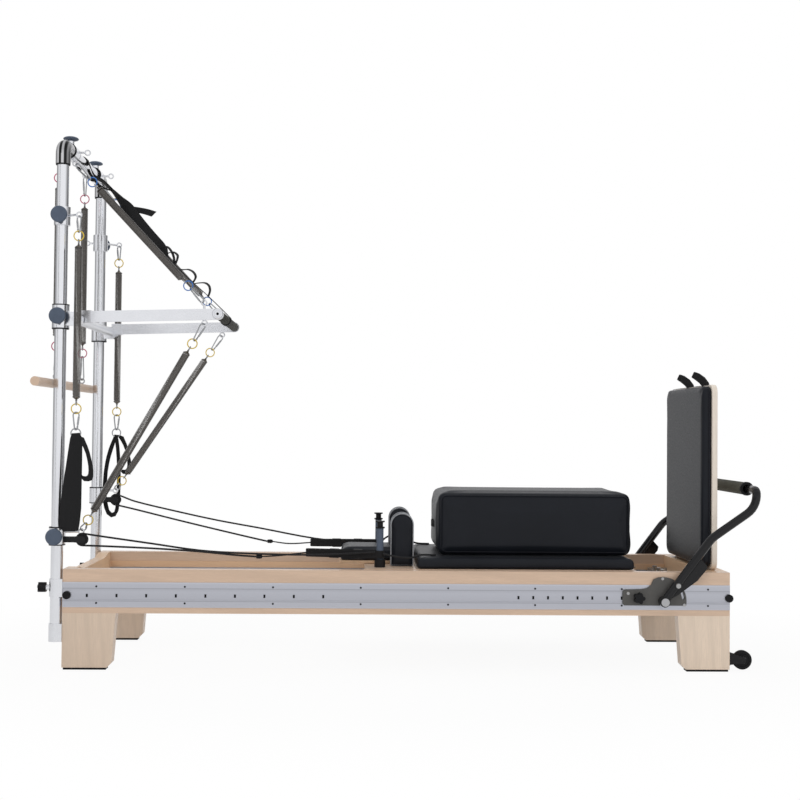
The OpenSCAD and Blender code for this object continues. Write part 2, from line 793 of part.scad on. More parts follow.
// Fixed collars: on the crossbar, at the push bar and at the pulleys, with their eyebolts
module tower_collars() {
    color("lightgray") from_head() {
        both_sides() {
            translate([tower_s, -top_collar_y, crossbar_z]) rotate([-90, 0, 0]) collar(collar_d, collar_h);
            for (ring = [top_eye(), roll_eye(), top_spring_eye()]) eyebolt(crossbar_wall(ring), ring);
            difference() {
                union() {
                    translate([tower_s, -upright_y, pivot_z + 7]) collar(push_collar_d, push_collar_h);
                    difference() {
                        block([tower_s, -upright_y - boss_w / 2, pivot_z - boss_d / 2],
                            [pivot_s, -upright_y + boss_w / 2, pivot_z + boss_d / 2]);
                        translate([tower_s, -upright_y, pivot_z - boss_d]) cylinder(h = 2 * boss_d, d = push_collar_d - 1);
                    }
                    cross_rod(pivot_s, pivot_z, -upright_y - boss_w / 2, -upright_y + boss_w / 2, boss_d);
                }
                cross_rod(pivot_s, pivot_z, -upright_y - boss_w, -upright_y + boss_w, stub_d + 2 * run_gap);
            }
        }
        for (side = [0, 1]) on_side(side) {
            translate([tower_s, -upright_y, lower_z[side]]) collar(collar_d, collar_h);
            eyebolt(collar_wall(lower_eye(side), lower_eye_z[side], collar_d), lower_eye(side));
        }
    }
}

// Black rings at the ends of the fixed collars and under the elbows
module collar_bushes() {
    color("black") from_head() {
        both_sides() {
            translate([tower_s, -top_collar_y, crossbar_z]) rotate([-90, 0, 0]) end_rings(collar_d, collar_h);
            translate([tower_s, -upright_y, pivot_z + 7]) end_rings(push_collar_d, push_collar_h);
            translate([tower_s, -upright_y, elbow_end - bush_t]) difference() {
                cylinder(h = bush_t, d = elbow_d - 2);
                translate([0, 0, -1]) cylinder(h = bush_t + 2, d = tube_d + 2 * run_gap);
            }
        }
        for (side = [0, 1]) on_side(side)
            translate([tower_s, -upright_y, lower_z[side]]) end_rings(collar_d, collar_h);
    }
}

// Pulleys beside the lower collars
cheek_t = 3;
cheek_gap = 1;
pulley_axle_d = 8;
module pulley_blocks() {
    half = pulley_w / 2 + cheek_gap;
    color("dimgray") from_head() for (side = [0, 1]) on_side(side)
        translate([0, -pulley_y, pulley_z[side]]) {
            difference() {
                union() {
                    block([tower_s, -half - cheek_t, -10], [pulley_s[side] - pulley_d / 2 - 6, half + cheek_t, 10]);
                    for (y = [-half - cheek_t, half])
                        plate([[pulley_s[side] - pulley_d / 2 - 8, -10], [pulley_s[side], -13], [pulley_s[side] + 9, -10],
                            [pulley_s[side] + 13, 0], [pulley_s[side] + 9, 10], [pulley_s[side], 13],
                            [pulley_s[side] - pulley_d / 2 - 8, 10]], y, y + cheek_t);
                    cross_rod(pulley_s[side], 0, -half - cheek_t, half + cheek_t, pulley_axle_d);
                }
                translate([tower_s, pulley_y - upright_y, -collar_h]) cylinder(h = 2 * collar_h, d = collar_d);
            }
        }
}

module pulley(side) {
    color("black") from_head() on_side(side)
        translate([pulley_s[side], -pulley_y, pulley_z[side]]) rotate([90, 0, 0])
            difference() {
                cylinder(h = pulley_w, d = pulley_d, center = true);
                cylinder(h = 2 * pulley_w, d = pulley_axle_d + 2 * run_gap, center = true);
                torus(pulley_d / 2 + 1, rope_d + 0.6);
            }
}
module pulley_near() { pulley(0); }
module pulley_far() { pulley(1); }

// Sliding collars of the hand springs; the far one has a second eyebolt in front
module upper_collar(side) {
    color("lightgray") from_head() on_side(side) {
        translate([tower_s, -upright_y, upper_collar_z]) {
            collar(collar_d, collar_h);
            end_rings(collar_d, collar_h);
        }
        eyebolt(collar_wall(hand_eye(), upper_collar_z, collar_d), hand_eye());
        if (side == 1)
            eyebolt([tower_s - collar_d / 2 + 3, -upright_y, upper_collar_z],
                [tower_s - collar_d / 2 - 24, -upright_y, upper_collar_z]);
    }
}
module upper_collar_near() { upper_collar(0); }
module upper_collar_far() { upper_collar(1); }

module standing_knob(side, z, d) {
    color("slategray") from_head() on_side(side)
        translate([tower_s, -upright_y, z]) pull_knob(d, disc_outline());
}
module knob_upper_near() { standing_knob(0, upper_collar_z, collar_d); }
module knob_upper_far() { standing_knob(1, upper_collar_z, collar_d); }
module knob_push_near() { standing_knob(0, pivot_z + 7, push_collar_d); }
module knob_push_far() { standing_knob(1, pivot_z + 7, push_collar_d); }
module knob_lower_near() { standing_knob(0, lower_collar_near, collar_d); }
module knob_lower_far() { standing_knob(1, lower_collar_far, collar_d); }

module crossbar_knob(side) {
    color("darkslategray") from_head() on_side(side)
        translate([tower_s, -top_collar_y, crossbar_z]) rotate([-90, 0, 0]) pull_knob(collar_d, mushroom_outline());
}
module knob_top_near() { crossbar_knob(0); }
module knob_top_far() { crossbar_knob(1); }

// Star knob along Z: five lobes, a hub and a threaded shaft behind
module star_knob(d, l, shaft) {
    linear_extrude(l) {
        circle(d = d * 0.72);
        for (a = [0:72:288]) rotate(a) translate([d * 0.32, 0]) circle(d = d * 0.36);
    }
    translate([0, 0, -shaft]) cylinder(h = shaft, d = star_shaft_d);
}
module tower_star(side) {
    color("black") from_head() on_side(side)
        translate([star_s - seat_gap, -upright_y, clamp_z]) rotate([0, -90, 0])
            star_knob(star_d, star_l, tower_s - tube_d / 2 - star_s - seat_gap);
}
module tower_star_near() { tower_star(0); }
module tower_star_far() { tower_star(1); }

// Push bar
arm_offset = 11;
arm_block_l = 48;
cap_t = 13;
function on_arm(l, y, rise) =
    [pivot_s + l * cos(arm_rise) - rise * sin(arm_rise), y, pivot_z + l * sin(arm_rise) + rise * cos(arm_rise)];
function arm_top_eye() = on_arm(arm_eye_l, -arm_y, arm_offset + arm_eye_rise);
function arm_low_eye() = on_arm(arm_eye_l, -arm_y, arm_offset - arm_h / 2 - eye_d / 2 + 1);

module on_arm_frame() {
    translate([pivot_s, 0, pivot_z]) rotate([0, -arm_rise, 0]) children();
}

module push_bar_frame() {
    color("gainsboro") from_head() {
        cross_rod(pivot_s, pivot_z, seat_gap - boss_inner, boss_inner - seat_gap, cross_tube_d);
        both_sides() {
            cross_rod(pivot_s, pivot_z, -stub_end, 2 - boss_inner, stub_d);
            on_arm_frame() {
                block([8, -arm_y - arm_t, arm_offset - arm_h / 2 - 2],
                    [arm_block_l, -arm_y + arm_t, arm_offset + arm_h / 2 + 2]);
                block([arm_block_l, -arm_y - arm_t / 2, arm_offset - arm_h / 2],
                    [arm_l, -arm_y + arm_t / 2, arm_offset + arm_h / 2]);
                cross_rod(arm_l, arm_offset, -arm_y - arm_t / 2, -arm_y + arm_t / 2, arm_h);
            }
            eyebolt(on_arm(arm_eye_l, -arm_y, arm_offset + arm_h / 2 - 2), arm_top_eye());
            eyebolt(on_arm(arm_eye_l, -arm_y, arm_offset - arm_h / 2 + 4), arm_low_eye());
        }
        on_arm_frame() cross_rod(arm_l, arm_offset, -arm_y, arm_y, grip_core_d);
    }
}

// Foam on the push bar's grip and the round caps outside the arms
module push_bar_grip() {
    color("black") from_head() on_arm_frame() {
        difference() {
            cross_rod(arm_l, arm_offset, seat_gap - grip_half, grip_half - seat_gap, grip_d);
            cross_rod(arm_l, arm_offset, -arm_y, arm_y, grip_core_d + 2 * run_gap);
        }
        both_sides() translate([arm_l, -arm_y - arm_t / 2, arm_offset]) rotate([90, 0, 0])
            rotate_extrude() polygon([[0, 0], [grip_cap_d / 2, 0], [grip_cap_d / 2, cap_t - 4],
                [grip_cap_d / 2 - 4, cap_t], [0, cap_t]]);
    }
}

// Springs and what they hang on. Each spring stands along Z between its two end loops.
hook_lead = ring_r - ring_wire - link_gap + hook_r;
module hooked_spring(l) {
    cup_z = hook_r + neck_h;
    for (z = [0, l]) translate([0, 0, z]) standing_ring(hook_r, ring_wire);
    for (z = [hook_r, l - hook_r - neck_h]) translate([0, 0, z]) cylinder(h = neck_h, d = ring_wire + 2);
    for (z = [cup_z, l - cup_z - cup_h]) translate([0, 0, z]) cylinder(h = cup_h, d = spring_d);
    translate([0, 0, cup_z]) cylinder(h = l - 2 * cup_z, d = core_d);
    translate([0, 0, cup_z + cup_h + link_gap]) coil(l - 2 * (cup_z + cup_h + link_gap));
}

// Snap hook from an eyebolt at the origin to a coloured ring along Z
module chain_end(gap) {
    color("silver") snap_hook(eye_r - eye_wire / 2 - snap_wire / 2 - link_gap,
        gap - ring_r + ring_wire / 2 + snap_wire / 2 + link_gap);
    translate([0, 0, gap]) rotate([0, 0, 90]) standing_ring(ring_r, ring_wire);
}

// Frame whose Z runs from one point towards another, turned so that the rings face the near side
module along_line(a, b) {
    v = b - a;
    translate(a) rotate([0, acos(v[2] / norm(v)), atan2(v[1], v[0])]) rotate([0, 0, 90]) children();
}

module spring_chain(a, b, start_gap, end_gap) {
    l = norm(b - a);
    along_line(a, b) {
        chain_end(start_gap);
        translate([0, 0, l]) mirror([0, 0, 1]) chain_end(end_gap);
        color("dimgray") translate([0, 0, start_gap + hook_lead])
            hooked_spring(l - start_gap - end_gap - 2 * hook_lead);
    }
}

// Distance of each coloured ring from its eyebolt
top_ring_gap = 95;
arm_ring_gap = 86;
low_ring_gap = 47;
roll_ring_gap = 93;
dowel_ring_gap = 110;
hand_ring_gap = 74;
module push_springs() {
    color("gold") from_head() {
        both_sides() spring_chain(top_spring_eye(), arm_top_eye(), top_ring_gap, arm_ring_gap);
        for (side = [0, 1]) on_side(side)
            spring_chain(arm_low_eye(), lower_eye(side), arm_ring_gap, low_ring_gap);
    }
}

module roll_down_springs() {
    color("crimson") from_head() both_sides()
        spring_chain(roll_eye(), [roll_s, -top_collar_y, roll_eye_z], roll_ring_gap, dowel_ring_gap);
}

// Turned wooden bar with its two eyelets
module roll_down_bar() {
    color("burlywood") from_head() {
        difference() {
            cross_rod(roll_s, dowel_z, -dowel_l / 2, dowel_l / 2, dowel_d);
            both_sides() for (y = [-top_collar_y - 14, -top_collar_y + 14])
                translate([roll_s, y, dowel_z]) rotate([90, 0, 0]) torus(dowel_d / 2 + 0.5, 4);
        }
        both_sides() eyebolt([roll_s, -top_collar_y, dowel_z + dowel_d / 2 - 6], [roll_s, -top_collar_y, roll_eye_z]);
    }
}

hand_spring_l = upper_collar_z - hand_ring_gap - hand_ring_z - 2 * hook_lead;
module hand_springs(side) {
    color("gold") from_head() on_side(side)
        along_line(hand_eye(), hand_eye() - [0, 0, 1]) {
            chain_end(hand_ring_gap);
            color("dimgray") translate([0, 0, hand_ring_gap + hook_lead]) hooked_spring(hand_spring_l);
        }
}
module hand_springs_near() { hand_springs(0); }
module hand_springs_far() { hand_springs(1); }

// Hand strap: coloured ring, snap hook, steel ring and two flat loops of webbing
strap_t = 9;
strap_out = 1.5;
web_t = 4;
strap_ring_z = hand_ring_z - 86;
strap_hang = strap_ring_z - ring_r;
wide_loop = [[-7, 8], [-16, -8], [-30, -46], [-44, -106], [-51, -176], [-52, -236], [-46, -286], [-34, -314],
    [-16, -327], [2, -322], [14, -300], [19, -256], [21, -186], [20, -106], [14, -36], [9, -4], [7, 8]];
wide_hole = [[-2, -52], [-10, -76], [-20, -126], [-25, -186], [-25, -236], [-20, -276], [-12, -294], [-6, -280],
    [-4, -236], [-5, -176], [-5, -116], [-1, -76]];
narrow_loop = [[4, 0], [13, 0], [36, -48], [55, -98], [64, -138], [64, -166], [56, -212], [44, -248], [34, -264],
    [24, -262], [14, -240], [12, -60]];
narrow_hole = [[20, -40], [22, -116], [25, -196], [27, -236], [32, -244], [37, -234], [47, -204], [54, -162],
    [54, -140], [45, -102], [29, -60]];
module hand_strap(side) {
    color("black") from_head() on_side(side) {
        along_line([hand_s, -hand_y, hand_ring_z], [hand_s, -hand_y, 0]) {
            rotate([0, 0, 90]) standing_ring(ring_r, ring_wire);
            snap_hook(ring_r - ring_wire / 2 - snap_wire / 2 - link_gap,
                hand_ring_z - strap_ring_z - ring_r + ring_wire / 2 + snap_wire / 2 + link_gap);
            translate([0, 0, hand_ring_z - strap_ring_z]) rotate([0, 0, 90]) standing_ring(ring_r, ring_wire);
        }
        translate([hand_s, 0, strap_hang]) {
            difference() {
                plate(wide_loop, -hand_y - strap_out, strap_t - strap_out - hand_y);
                plate(wide_hole, -hand_y - strap_t, strap_t - hand_y);
            }
            difference() {
                plate(narrow_loop, -hand_y - strap_out, strap_t - strap_out - hand_y);
                plate(narrow_hole, -hand_y - strap_t, strap_t - hand_y);
            }
        }
    }
}
module hand_strap_near() { hand_strap(0); }
module hand_strap_far() { hand_strap(1); }

// Safety strap from the crossbar to the push bar's grip, with its daisy loops
strap_y = -20;
strap_band = 38;
strap_path = [[-2, 1830], [17, 1800], [60, 1748], [141, 1648], [210, 1572], [275, 1500], [360, 1412], [440, 1334],
    [500, 1284]];
strap_tail = [[120, 1676], [150, 1690], [190, 1684], [236, 1668]];
daisy_starts = [3, 4, 5, 6];
module safety_strap() {
    grip = on_arm(arm_l, 0, arm_offset);
    c = [grip[0], grip[2]];
    wrap_r = grip_d / 2 + web_t / 2 + seat_gap;
    color("black") from_head() {
        webbing(concat(strap_path, [c + wrap_r * [cos(130), sin(130)]]), web_t,
            strap_y - strap_band / 2, strap_y + strap_band / 2);
        webbing(strap_tail, web_t, strap_y - strap_band / 2, strap_y + strap_band / 2);
        webbing(concat([strap_path[0]], arc([tower_s, crossbar_z], tube_d / 2 + web_t / 2 + seat_gap, -45, 250, 16)),
            web_t, strap_y - strap_band / 2, strap_y + strap_band / 2);
        for (i = daisy_starts) let (a = strap_path[i], b = (a + strap_path[i + 1]) / 2)
            webbing([a, a + [12, 18], (a + b) / 2 + [26, 30], b + [22, 14], b], web_t, strap_y - 12, strap_y + 12);
        webbing(arc(c, wrap_r, 130, 440, 16), web_t, strap_y - strap_band / 2, strap_y + strap_band / 2);
    }
}

// Footbar
bar_bend_r = 90;
bar_leg_l = 268;
bar_leg_angle = 53;
bar_slope_l = 138;
bar_low_turn = -18;
bar_high_turn = 45;
bar_high_r = 80;
bar_corner_r = 32;
hub_d = 36;
hub_gap = 0.5;
hub_w = 34;
lock_r = 74;
lock_pin_d = 8;
slot_w = 9;
slot_turn = 45;
quadrant_r = 85;
bar_head_t = 6;

// Ends of the footbar's stretches, as distances from the pivot along X and Z
leg_way = bar_leg_l * [cos(bar_leg_angle), sin(bar_leg_angle)];
slope_angle = bar_leg_angle + bar_low_turn;
top_angle = slope_angle + bar_high_turn;
low_bend_c = leg_way + bar_bend_r * [sin(bar_leg_angle), -cos(bar_leg_angle)];
slope_start = low_bend_c + bar_bend_r * [-sin(slope_angle), cos(slope_angle)];
slope_end = slope_start + bar_slope_l * [cos(slope_angle), sin(slope_angle)];
high_bend_c = slope_end + bar_high_r * [-sin(slope_angle), cos(slope_angle)];
corner_start = high_bend_c + bar_high_r * [sin(top_angle), -cos(top_angle)];
corner_end = corner_start + bar_corner_r * [cos(top_angle), sin(top_angle)];

// Middle line of one side of the footbar, from its pivot to the start of the grip
function footbar_line() = concat(
    [[9 * cos(bar_leg_angle), 0, 9 * sin(bar_leg_angle)]],
    [for (p = arc(low_bend_c, bar_bend_r, bar_leg_angle + 90, slope_angle + 90, 3)) [p[0], 0, p[1]]],
    [for (p = arc(high_bend_c, bar_high_r, slope_angle - 90, top_angle - 90, 5)) [p[0], 0, p[1]]],
    [for (i = [1:5]) let (p = corner_start + bar_corner_r * sin(18 * i) * [cos(top_angle), sin(top_angle)])
        [p[0], bar_corner_r * (1 - cos(18 * i)), p[1]]]
);

module footbar_tube() {
    near = [for (p = footbar_line()) p - [0, bar_y, 0]];
    far = [for (i = [len(near) - 1:-1:0]) [near[i][0], -near[i][1], near[i][2]]];
    cord(concat(near, far), bar_d, [cos(-32), 0, sin(-32)], 16);
}

// Hub round the pivot pin and the gusset under the leg, on the near side
module footbar_hub() {
    cross_rod(0, 0, -bracket_face - hub_gap - hub_w, -bracket_face - hub_gap, hub_d);
    plate([[24, 12], [48, 24], [118, 76], [148, 112], [152, 128], [132, 150], [84, 104]], -bar_y - 4, 4 - bar_y);
}

module footbar_frame() {
    color("black") from_head() translate([bar_pivot_s, 0, bar_pivot_z]) difference() {
        union() {
            footbar_tube();
            both_sides() footbar_hub();
        }
        cross_rod(0, 0, -bed_w, bed_w, bar_pin_d + 2 * run_gap);
        cross_rod(lock_r * cos(bar_leg_angle), lock_r * sin(bar_leg_angle), -bed_w, bed_w,
            lock_pin_d + 2 * run_gap);
    }
}

// Olive sleeve on the footbar with a black collar at each end
module footbar_grip() {
    c = [bar_pivot_s, bar_pivot_z] + corner_end;
    collar_l = 14;
    color("dimgray") from_head() difference() {
        union() {
            cross_rod(c[0], c[1], -bar_grip_l / 2, bar_grip_l / 2, bar_grip_d);
            both_sides() cross_rod(c[0], c[1], -bar_grip_l / 2, collar_l - bar_grip_l / 2, bar_grip_d + 4);
        }
        cross_rod(c[0], c[1], -bar_grip_l, bar_grip_l, bar_d + 2 * run_gap);
    }
}

// Clamping pin of the near side, which rides in the quadrant's slot
module footbar_lock() {
    color("silver") from_head() translate([bar_pivot_s, 0, bar_pivot_z]) rotate([0, -bar_leg_angle, 0]) {
        cross_rod(lock_r, 0, -bar_y - bar_d / 2 - 2, seat_gap - profile_face - 1, lock_pin_d);
        cross_rod(lock_r, 0, -bar_y - bar_d / 2 - 12, -bar_y - bar_d / 2 - seat_gap, 17);
    }
}

// Grey quadrants on the outer profiles, each with its slot and the footbar's pivot pin
module footbar_brackets() {
    outline = concat(arc([0, 0], quadrant_r, -11, 103, 20), [[-34, 76], [-42, 58], [-56, 46], [-76, 42], [-138, 40],
        [-144, 34], [-144, -10], [-138, -16]]);
    color("gray") from_head() both_sides() translate([bar_pivot_s, 0, bar_pivot_z]) {
        difference() {
            plate(outline, -bracket_face, -profile_face);
            translate([footbar_star_s - bar_pivot_s, 0, footbar_star_z - bar_pivot_z])
                cross_rod(0, 0, -bracket_face - 1, 1 - profile_face, star_shaft_d + 2 * run_gap);
            plate(slot_outline(), -bracket_face - 1, 1 - profile_face);
        }
        cross_rod(0, 0, -bracket_face - hub_gap - hub_w - seat_gap, -profile_face, bar_pin_d);
        cross_rod(0, 0, -bracket_face - hub_gap - hub_w - seat_gap - bar_head_t,
            -bracket_face - hub_gap - hub_w - seat_gap, 29);
    }
}

// Curved slot of the quadrant, with round ends
function slot_outline() =
    let (low = bar_leg_angle - slot_turn, high = bar_leg_angle, r = slot_w / 2)
    concat(arc([0, 0], lock_r + r, low, high, 15), arc(lock_r * [cos(high), sin(high)], r, high + 30, high + 150, 4),
        arc([0, 0], lock_r - r, high, low, 15), arc(lock_r * [cos(low), sin(low)], r, low - 150, low - 30, 4));

module footbar_star(side) {
    color("black") from_head() on_side(side)
        translate([footbar_star_s, -bracket_face - seat_gap, footbar_star_z]) rotate([90, 0, 0])
            star_knob(star_d + 4, 22, quadrant_t - seat_gap);
}
module footbar_star_near() { footbar_star(0); }
module footbar_star_far() { footbar_star(1); }

// Transport wheels
wheel_play = 1.5;
cheek_plate_t = 4;
module wheel_brackets() {
    low = -wheel_y - wheel_w / 2 - wheel_play;
    high = -wheel_y + wheel_w / 2 + wheel_play;
    outline = [[0, -16], [wheel_reach, -12], [wheel_reach + 10, -6], [wheel_reach + 12, 2], [wheel_reach + 6, 11],
        [0, 28]];
    color("black") from_head() both_sides() translate([bed_l, 0, wheel_z]) {
        block([0, low - cheek_plate_t, -18], [6, high + cheek_plate_t, 30]);
        plate(outline, low - cheek_plate_t, low);
        plate(outline, high, high + cheek_plate_t);
        cross_rod(wheel_reach, 0, low - cheek_plate_t, high + cheek_plate_t, wheel_axle_d);
    }
}

module wheel(side) {
    color("black") from_head() on_side(side)
        translate([wheel_s, -wheel_y, wheel_z]) rotate([90, 0, 0]) difference() {
            rotate_extrude($fn = 72) translate([0, -wheel_w / 2]) polygon([[0, 0], [wheel_d / 2 - 4, 0], [wheel_d / 2, 4],
                [wheel_d / 2, wheel_w - 4], [wheel_d / 2 - 4, wheel_w], [wheel_d / 2 - 10, wheel_w],
                [wheel_d / 2 - 12, wheel_w - 2], [14, wheel_w - 2], [13, wheel_w], [0, wheel_w]]);
            cylinder(h = 2 * wheel_w, d = wheel_axle_d + 2 * run_gap, center = true);
        }
}
module wheel_near() { wheel(0); }
module wheel_far() { wheel(1); }

// Carriage
axle_stations = [carriage_s + axle_inset, carriage_end - axle_inset];
anchor_s = carriage_s + 420;
module carriage_deck() {
    color("wheat") from_head() {
        difference() {
            block([carriage_s, -deck_w, deck_bottom], [carriage_end, deck_w, deck_z]);
            both_sides() translate([rest_s + rest_l / 2, -rest_y - rest_w / 2, deck_bottom - 1])
                cylinder(h = deck_t + 2, d = rest_pin_d + 2 * run_gap);
        }
        block([anchor_s - 16, -150, spring_bar_z - 16], [anchor_s, 150, deck_bottom]);
        for (s = axle_stations) both_sides() difference() {
            block([s - 16, -hanger_y - hanger_t / 2, axle_z - 12], [s + 16, -hanger_y + hanger_t / 2, deck_bottom]);
            cross_rod(s, axle_z, -inner_w, 0, axle_d + 2 * run_gap);
        }
    }
}

module carriage_pad() {
    l = carriage_end - cushion_s;
    color("#22262c") from_head() translate([cushion_s + l / 2, 0, deck_z + seat_gap])
        cushion(l, 2 * deck_w, cushion_t - seat_gap, 18, 12, 1, 2);
}

module rope_posts() {
    color("darkslategray") from_head() both_sides() translate([post_s, -post_y, deck_z]) {
        rotate_extrude() polygon([[0, 0], [post_base_d / 2, 0], [post_base_d / 2, 26], [post_base_d / 2 - 3, 29],
            [post_d / 2, 29], [post_d / 2, post_h - 28], [17, post_h - 26], [17, post_h - 22], [10.5, post_h - 20],
            [10.5, post_h - 6], [17, post_h - 4], [17, post_h], [0, post_h]]);
    }
}

module roller_axle(s) {
    color("gray") from_head() {
        cross_rod(s, axle_z, -roller_y - roller_w / 2, roller_y + roller_w / 2, axle_d);
        both_sides() cross_rod(s, axle_z, -roller_y - roller_w / 2, -roller_y + roller_w / 2, roller_d);
    }
}
module roller_axle_head() { roller_axle(axle_stations[0]); }
module roller_axle_foot() { roller_axle(axle_stations[1]); }

// Springs under the deck, from the anchor block to the bar at the foot end
under_spring_d = 24;
under_spring_z = axle_z - axle_d / 2 - under_spring_d / 2 - 2;
module carriage_springs() {
    color("dimgray") from_head() for (i = [0:carriage_springs_count - 1])
        translate([anchor_s, spring_row_y(i), under_spring_z]) rotate([0, 90, 0]) {
            translate([0, 0, seat_gap]) cylinder(h = spring_bar_s - anchor_s - 2 * seat_gap, d = 6);
            translate([0, 0, 20]) cylinder(h = spring_bar_s - anchor_s - 40, d = under_spring_d);
        }
}

// Headrest: its board, hinged near the cushion's end, and its cushion
headrest_gap = 25;
module headrest() {
    l = cushion_s - headrest_gap - headrest_s;
    color("#22262c") from_head() translate([headrest_s, 0, deck_z + seat_gap]) {
        color("burlywood") block([0, -headrest_w / 2 + 6, 0], [l, headrest_w / 2 - 6, headrest_board_t]);
        translate([l / 2, 0, headrest_board_t]) cushion(l, headrest_w, headrest_t, 16, 14, 1, 3);
    }
}

// Arched outline of a shoulder rest, from its foot, in X and Z
function arch_outline(inset) =
    let (r = rest_l / 2 - inset)
    concat([[-r, inset]], [[r, inset]], [for (a = [0:15:180]) [r * cos(a), rest_h - rest_l / 2 + r * sin(a)]]);

module shoulder_rest(side) {
    levels = [[0, 9], [4, 2.5], [10, 0], [rest_w - 10, 0], [rest_w - 4, 2.5], [rest_w, 9]];
    color("#22262c") from_head() on_side(side) translate([rest_s + rest_l / 2, -rest_y - rest_w, deck_z + seat_gap]) {
        rotate([90, 0, 0]) mirror([0, 0, 1])
            loft([for (level = levels) [for (p = arch_outline(level[1])) [p[0], p[1], level[0]]]]);
        color("silver") translate([0, rest_w / 2, -rest_pin_l]) cylinder(h = rest_pin_l, d = rest_pin_d);
    }
}
module shoulder_rest_near() { shoulder_rest(0); }
module shoulder_rest_far() { shoulder_rest(1); }

// Sitting box with a webbing handle at each end
module sitting_box() {
    color("#22262c") from_head() translate([box_s + box_l / 2, 0, box_z]) {
        cushion(box_l, box_w, box_h, box_r, 16, 2, 4);
        for (x = [-1, 1]) translate([x * (box_l / 2 - 3), 0, box_h * 0.44])
            mirror([x < 0 ? 1 : 0, 0, 0]) difference() {
                block([0, -50, -13], [14, 50, 13]);
                block([6, -32, -14], [11, 32, 14]);
            }
    }
}

// Jump board: cushion towards the carriage, panel behind with its pegs, two loops on top
module jump_board_pad() {
    l = board_top - board_bottom - 6;
    color("#22262c") from_head() translate([board_s + board_pad_t - seat_gap / 2, 0, board_bottom + 6 + l / 2])
        rotate([0, -90, 0]) cushion(l, board_w, board_pad_t - seat_gap / 2, board_r, 9, 0.5, 2);
}

module jump_board_panel() {
    color("burlywood") from_head() {
        translate([board_s + board_pad_t, 0, (board_top + board_bottom) / 2]) rotate([90, 0, 90])
            linear_extrude(board_panel_t) polygon(round_outline(board_w, board_top - board_bottom, board_r, 6));
        for (y = [-peg_y, peg_y]) peg(y, 0, 3);
        color("black") for (y = [-150, 60]) board_loop(y);
    }
}

// Webbing loop that stands on the jump board's top edge
loop_path = [[25, -12], [22, 6], [2, 24], [-26, 44], [-34, 38], [-28, 25], [0, 8], [16, -6]];
module board_loop(y) {
    translate([board_s + board_pad_t - 8, 0, board_top]) web_loop(loop_path, web_t, y - 15, y + 15);
}

// Ropes. Points are stations, heights and distances of the near side; the far side mirrors Y.
near_post_run = [[65, -322, 476], [78, -322, 474], [130, -318, 466], [300, -304, 441], [470, -288, 416], [640, -268, 404],
    [860, -246, 398], [1000, -233, 402], [1094, -240.7, 408]];
near_loop_run = [[65, -322, 434], [130, -320, 432], [300, -306, 424], [470, -290, 412], [600, -272, 398],
    [668, -258, 392]];
far_post_run = [[59.2, -322, 577.7], [72, -322, 573], [130, -316, 552], [300, -300, 514], [470, -282, 480], [640, -262, 452],
    [860, -242, 414], [1000, -233, 404], [1094, -240.7, 404]];
far_loop_run = [[52, -322, 537], [64, -322, 534.4], [130, -316, 520], [300, -302, 480], [470, -284, 442], [600, -268, 414],
    [668, -258, 400]];
post_runs = [near_post_run, far_post_run];
loop_runs = [near_loop_run, far_loop_run];
rope_wrap_r = 21;
// Angle on each pulley at which the rope leaves for the post
post_leave = [90, 70];
module pulley_ropes() {
    color("black") from_head() for (side = [0, 1]) on_side(side) {
        cord(post_runs[side], rope_d);
        cord(loop_runs[side], rope_d);
        cord([for (p = arc([pulley_s[side], pulley_z[side]], rope_wrap_r, post_leave[side], 270, 12))
            [p[0], -pulley_y, p[1]]], rope_d);
    }
}

// Rope ends on the carriage: knots, twin cords, webbing loops over the posts and the tails
tails = [
    [[1124, -236, 402], [1180, -246, 392], [1228, -246, 390], [1256, -238, 399], [1316, -216, 397]],
    [[1124, -236, 404], [1150, -232, 424], [1180, -228, 430], [1215, -228, 420], [1262, -230, 400], [1316, -226, 397]]
];
module rope_loops() {
    color("#1b1b1b") from_head() for (side = [0, 1]) on_side(side) {
        knot = loop_runs[side][len(loop_runs[side]) - 1];
        translate(knot + [3 * seat_gap, 0, 0]) rotate([0, 90, 0]) cylinder(h = 22, d = 15);
        for (y = [-9, 9])
            cord([knot + [16, y * 0.3, 0], [758, y * 0.8 - 230, 394], [849, y * 0.7 - 195.5, 402]], 4);
        translate([post_s, -post_y, deck_z + 31]) rotate([0, -1, atan2(26, -260)]) post_loop();
        cord(tails[side], rope_d);
    }
}

// Long loop of webbing that lies round a post's sleeve and runs back along X
module post_loop() {
    l = 268;
    r = post_d / 2 + seat_gap + web_t;
    linear_extrude(30) difference() {
        union() {
            circle(r = r);
            polygon([[0, r], [l, 11], [l, -11], [0, -r]]);
        }
        circle(r = r - web_t);
        polygon([[0, r - web_t], [l - 6, 7], [l - 6, -7], [0, web_t - r]]);
    }
}

echo("Least gap of a spring's wire to itself",
    coil_gap(coil_points((spring_d - wire_d) / 2, hand_spring_l - 2 * (hook_r + neck_h + cup_h + link_gap),
        wire_d, curls), wire_d));

side_rails();
end_boards();
legs();
rubber_feet();
side_profiles();
bed_screws();
spring_bar();
tower_clamps();
tower_tubes();
elbows();
tower_collars();
collar_bushes();
pulley_blocks();
footbar_brackets();
wheel_brackets();
upper_collar_near();
upper_collar_far();
knob_upper_near();
knob_upper_far();
knob_push_near();
knob_push_far();
knob_lower_near();
knob_lower_far();
knob_top_near();
knob_top_far();
tower_star_near();
tower_star_far();
footbar_star_near();
footbar_star_far();
pulley_near();
pulley_far();
wheel_near();
wheel_far();
footbar_frame();
footbar_grip();
footbar_lock();
carriage_deck();
carriage_pad();
rope_posts();
roller_axle_head();
roller_axle_foot();
carriage_springs();
headrest();
shoulder_rest_near();
shoulder_rest_far();
sitting_box();
jump_board_pad();
jump_board_panel();
push_bar_frame();
push_bar_grip();
push_springs();
safety_strap();
roll_down_springs();
roll_down_bar();
hand_springs_near();
hand_springs_far();
hand_strap_near();
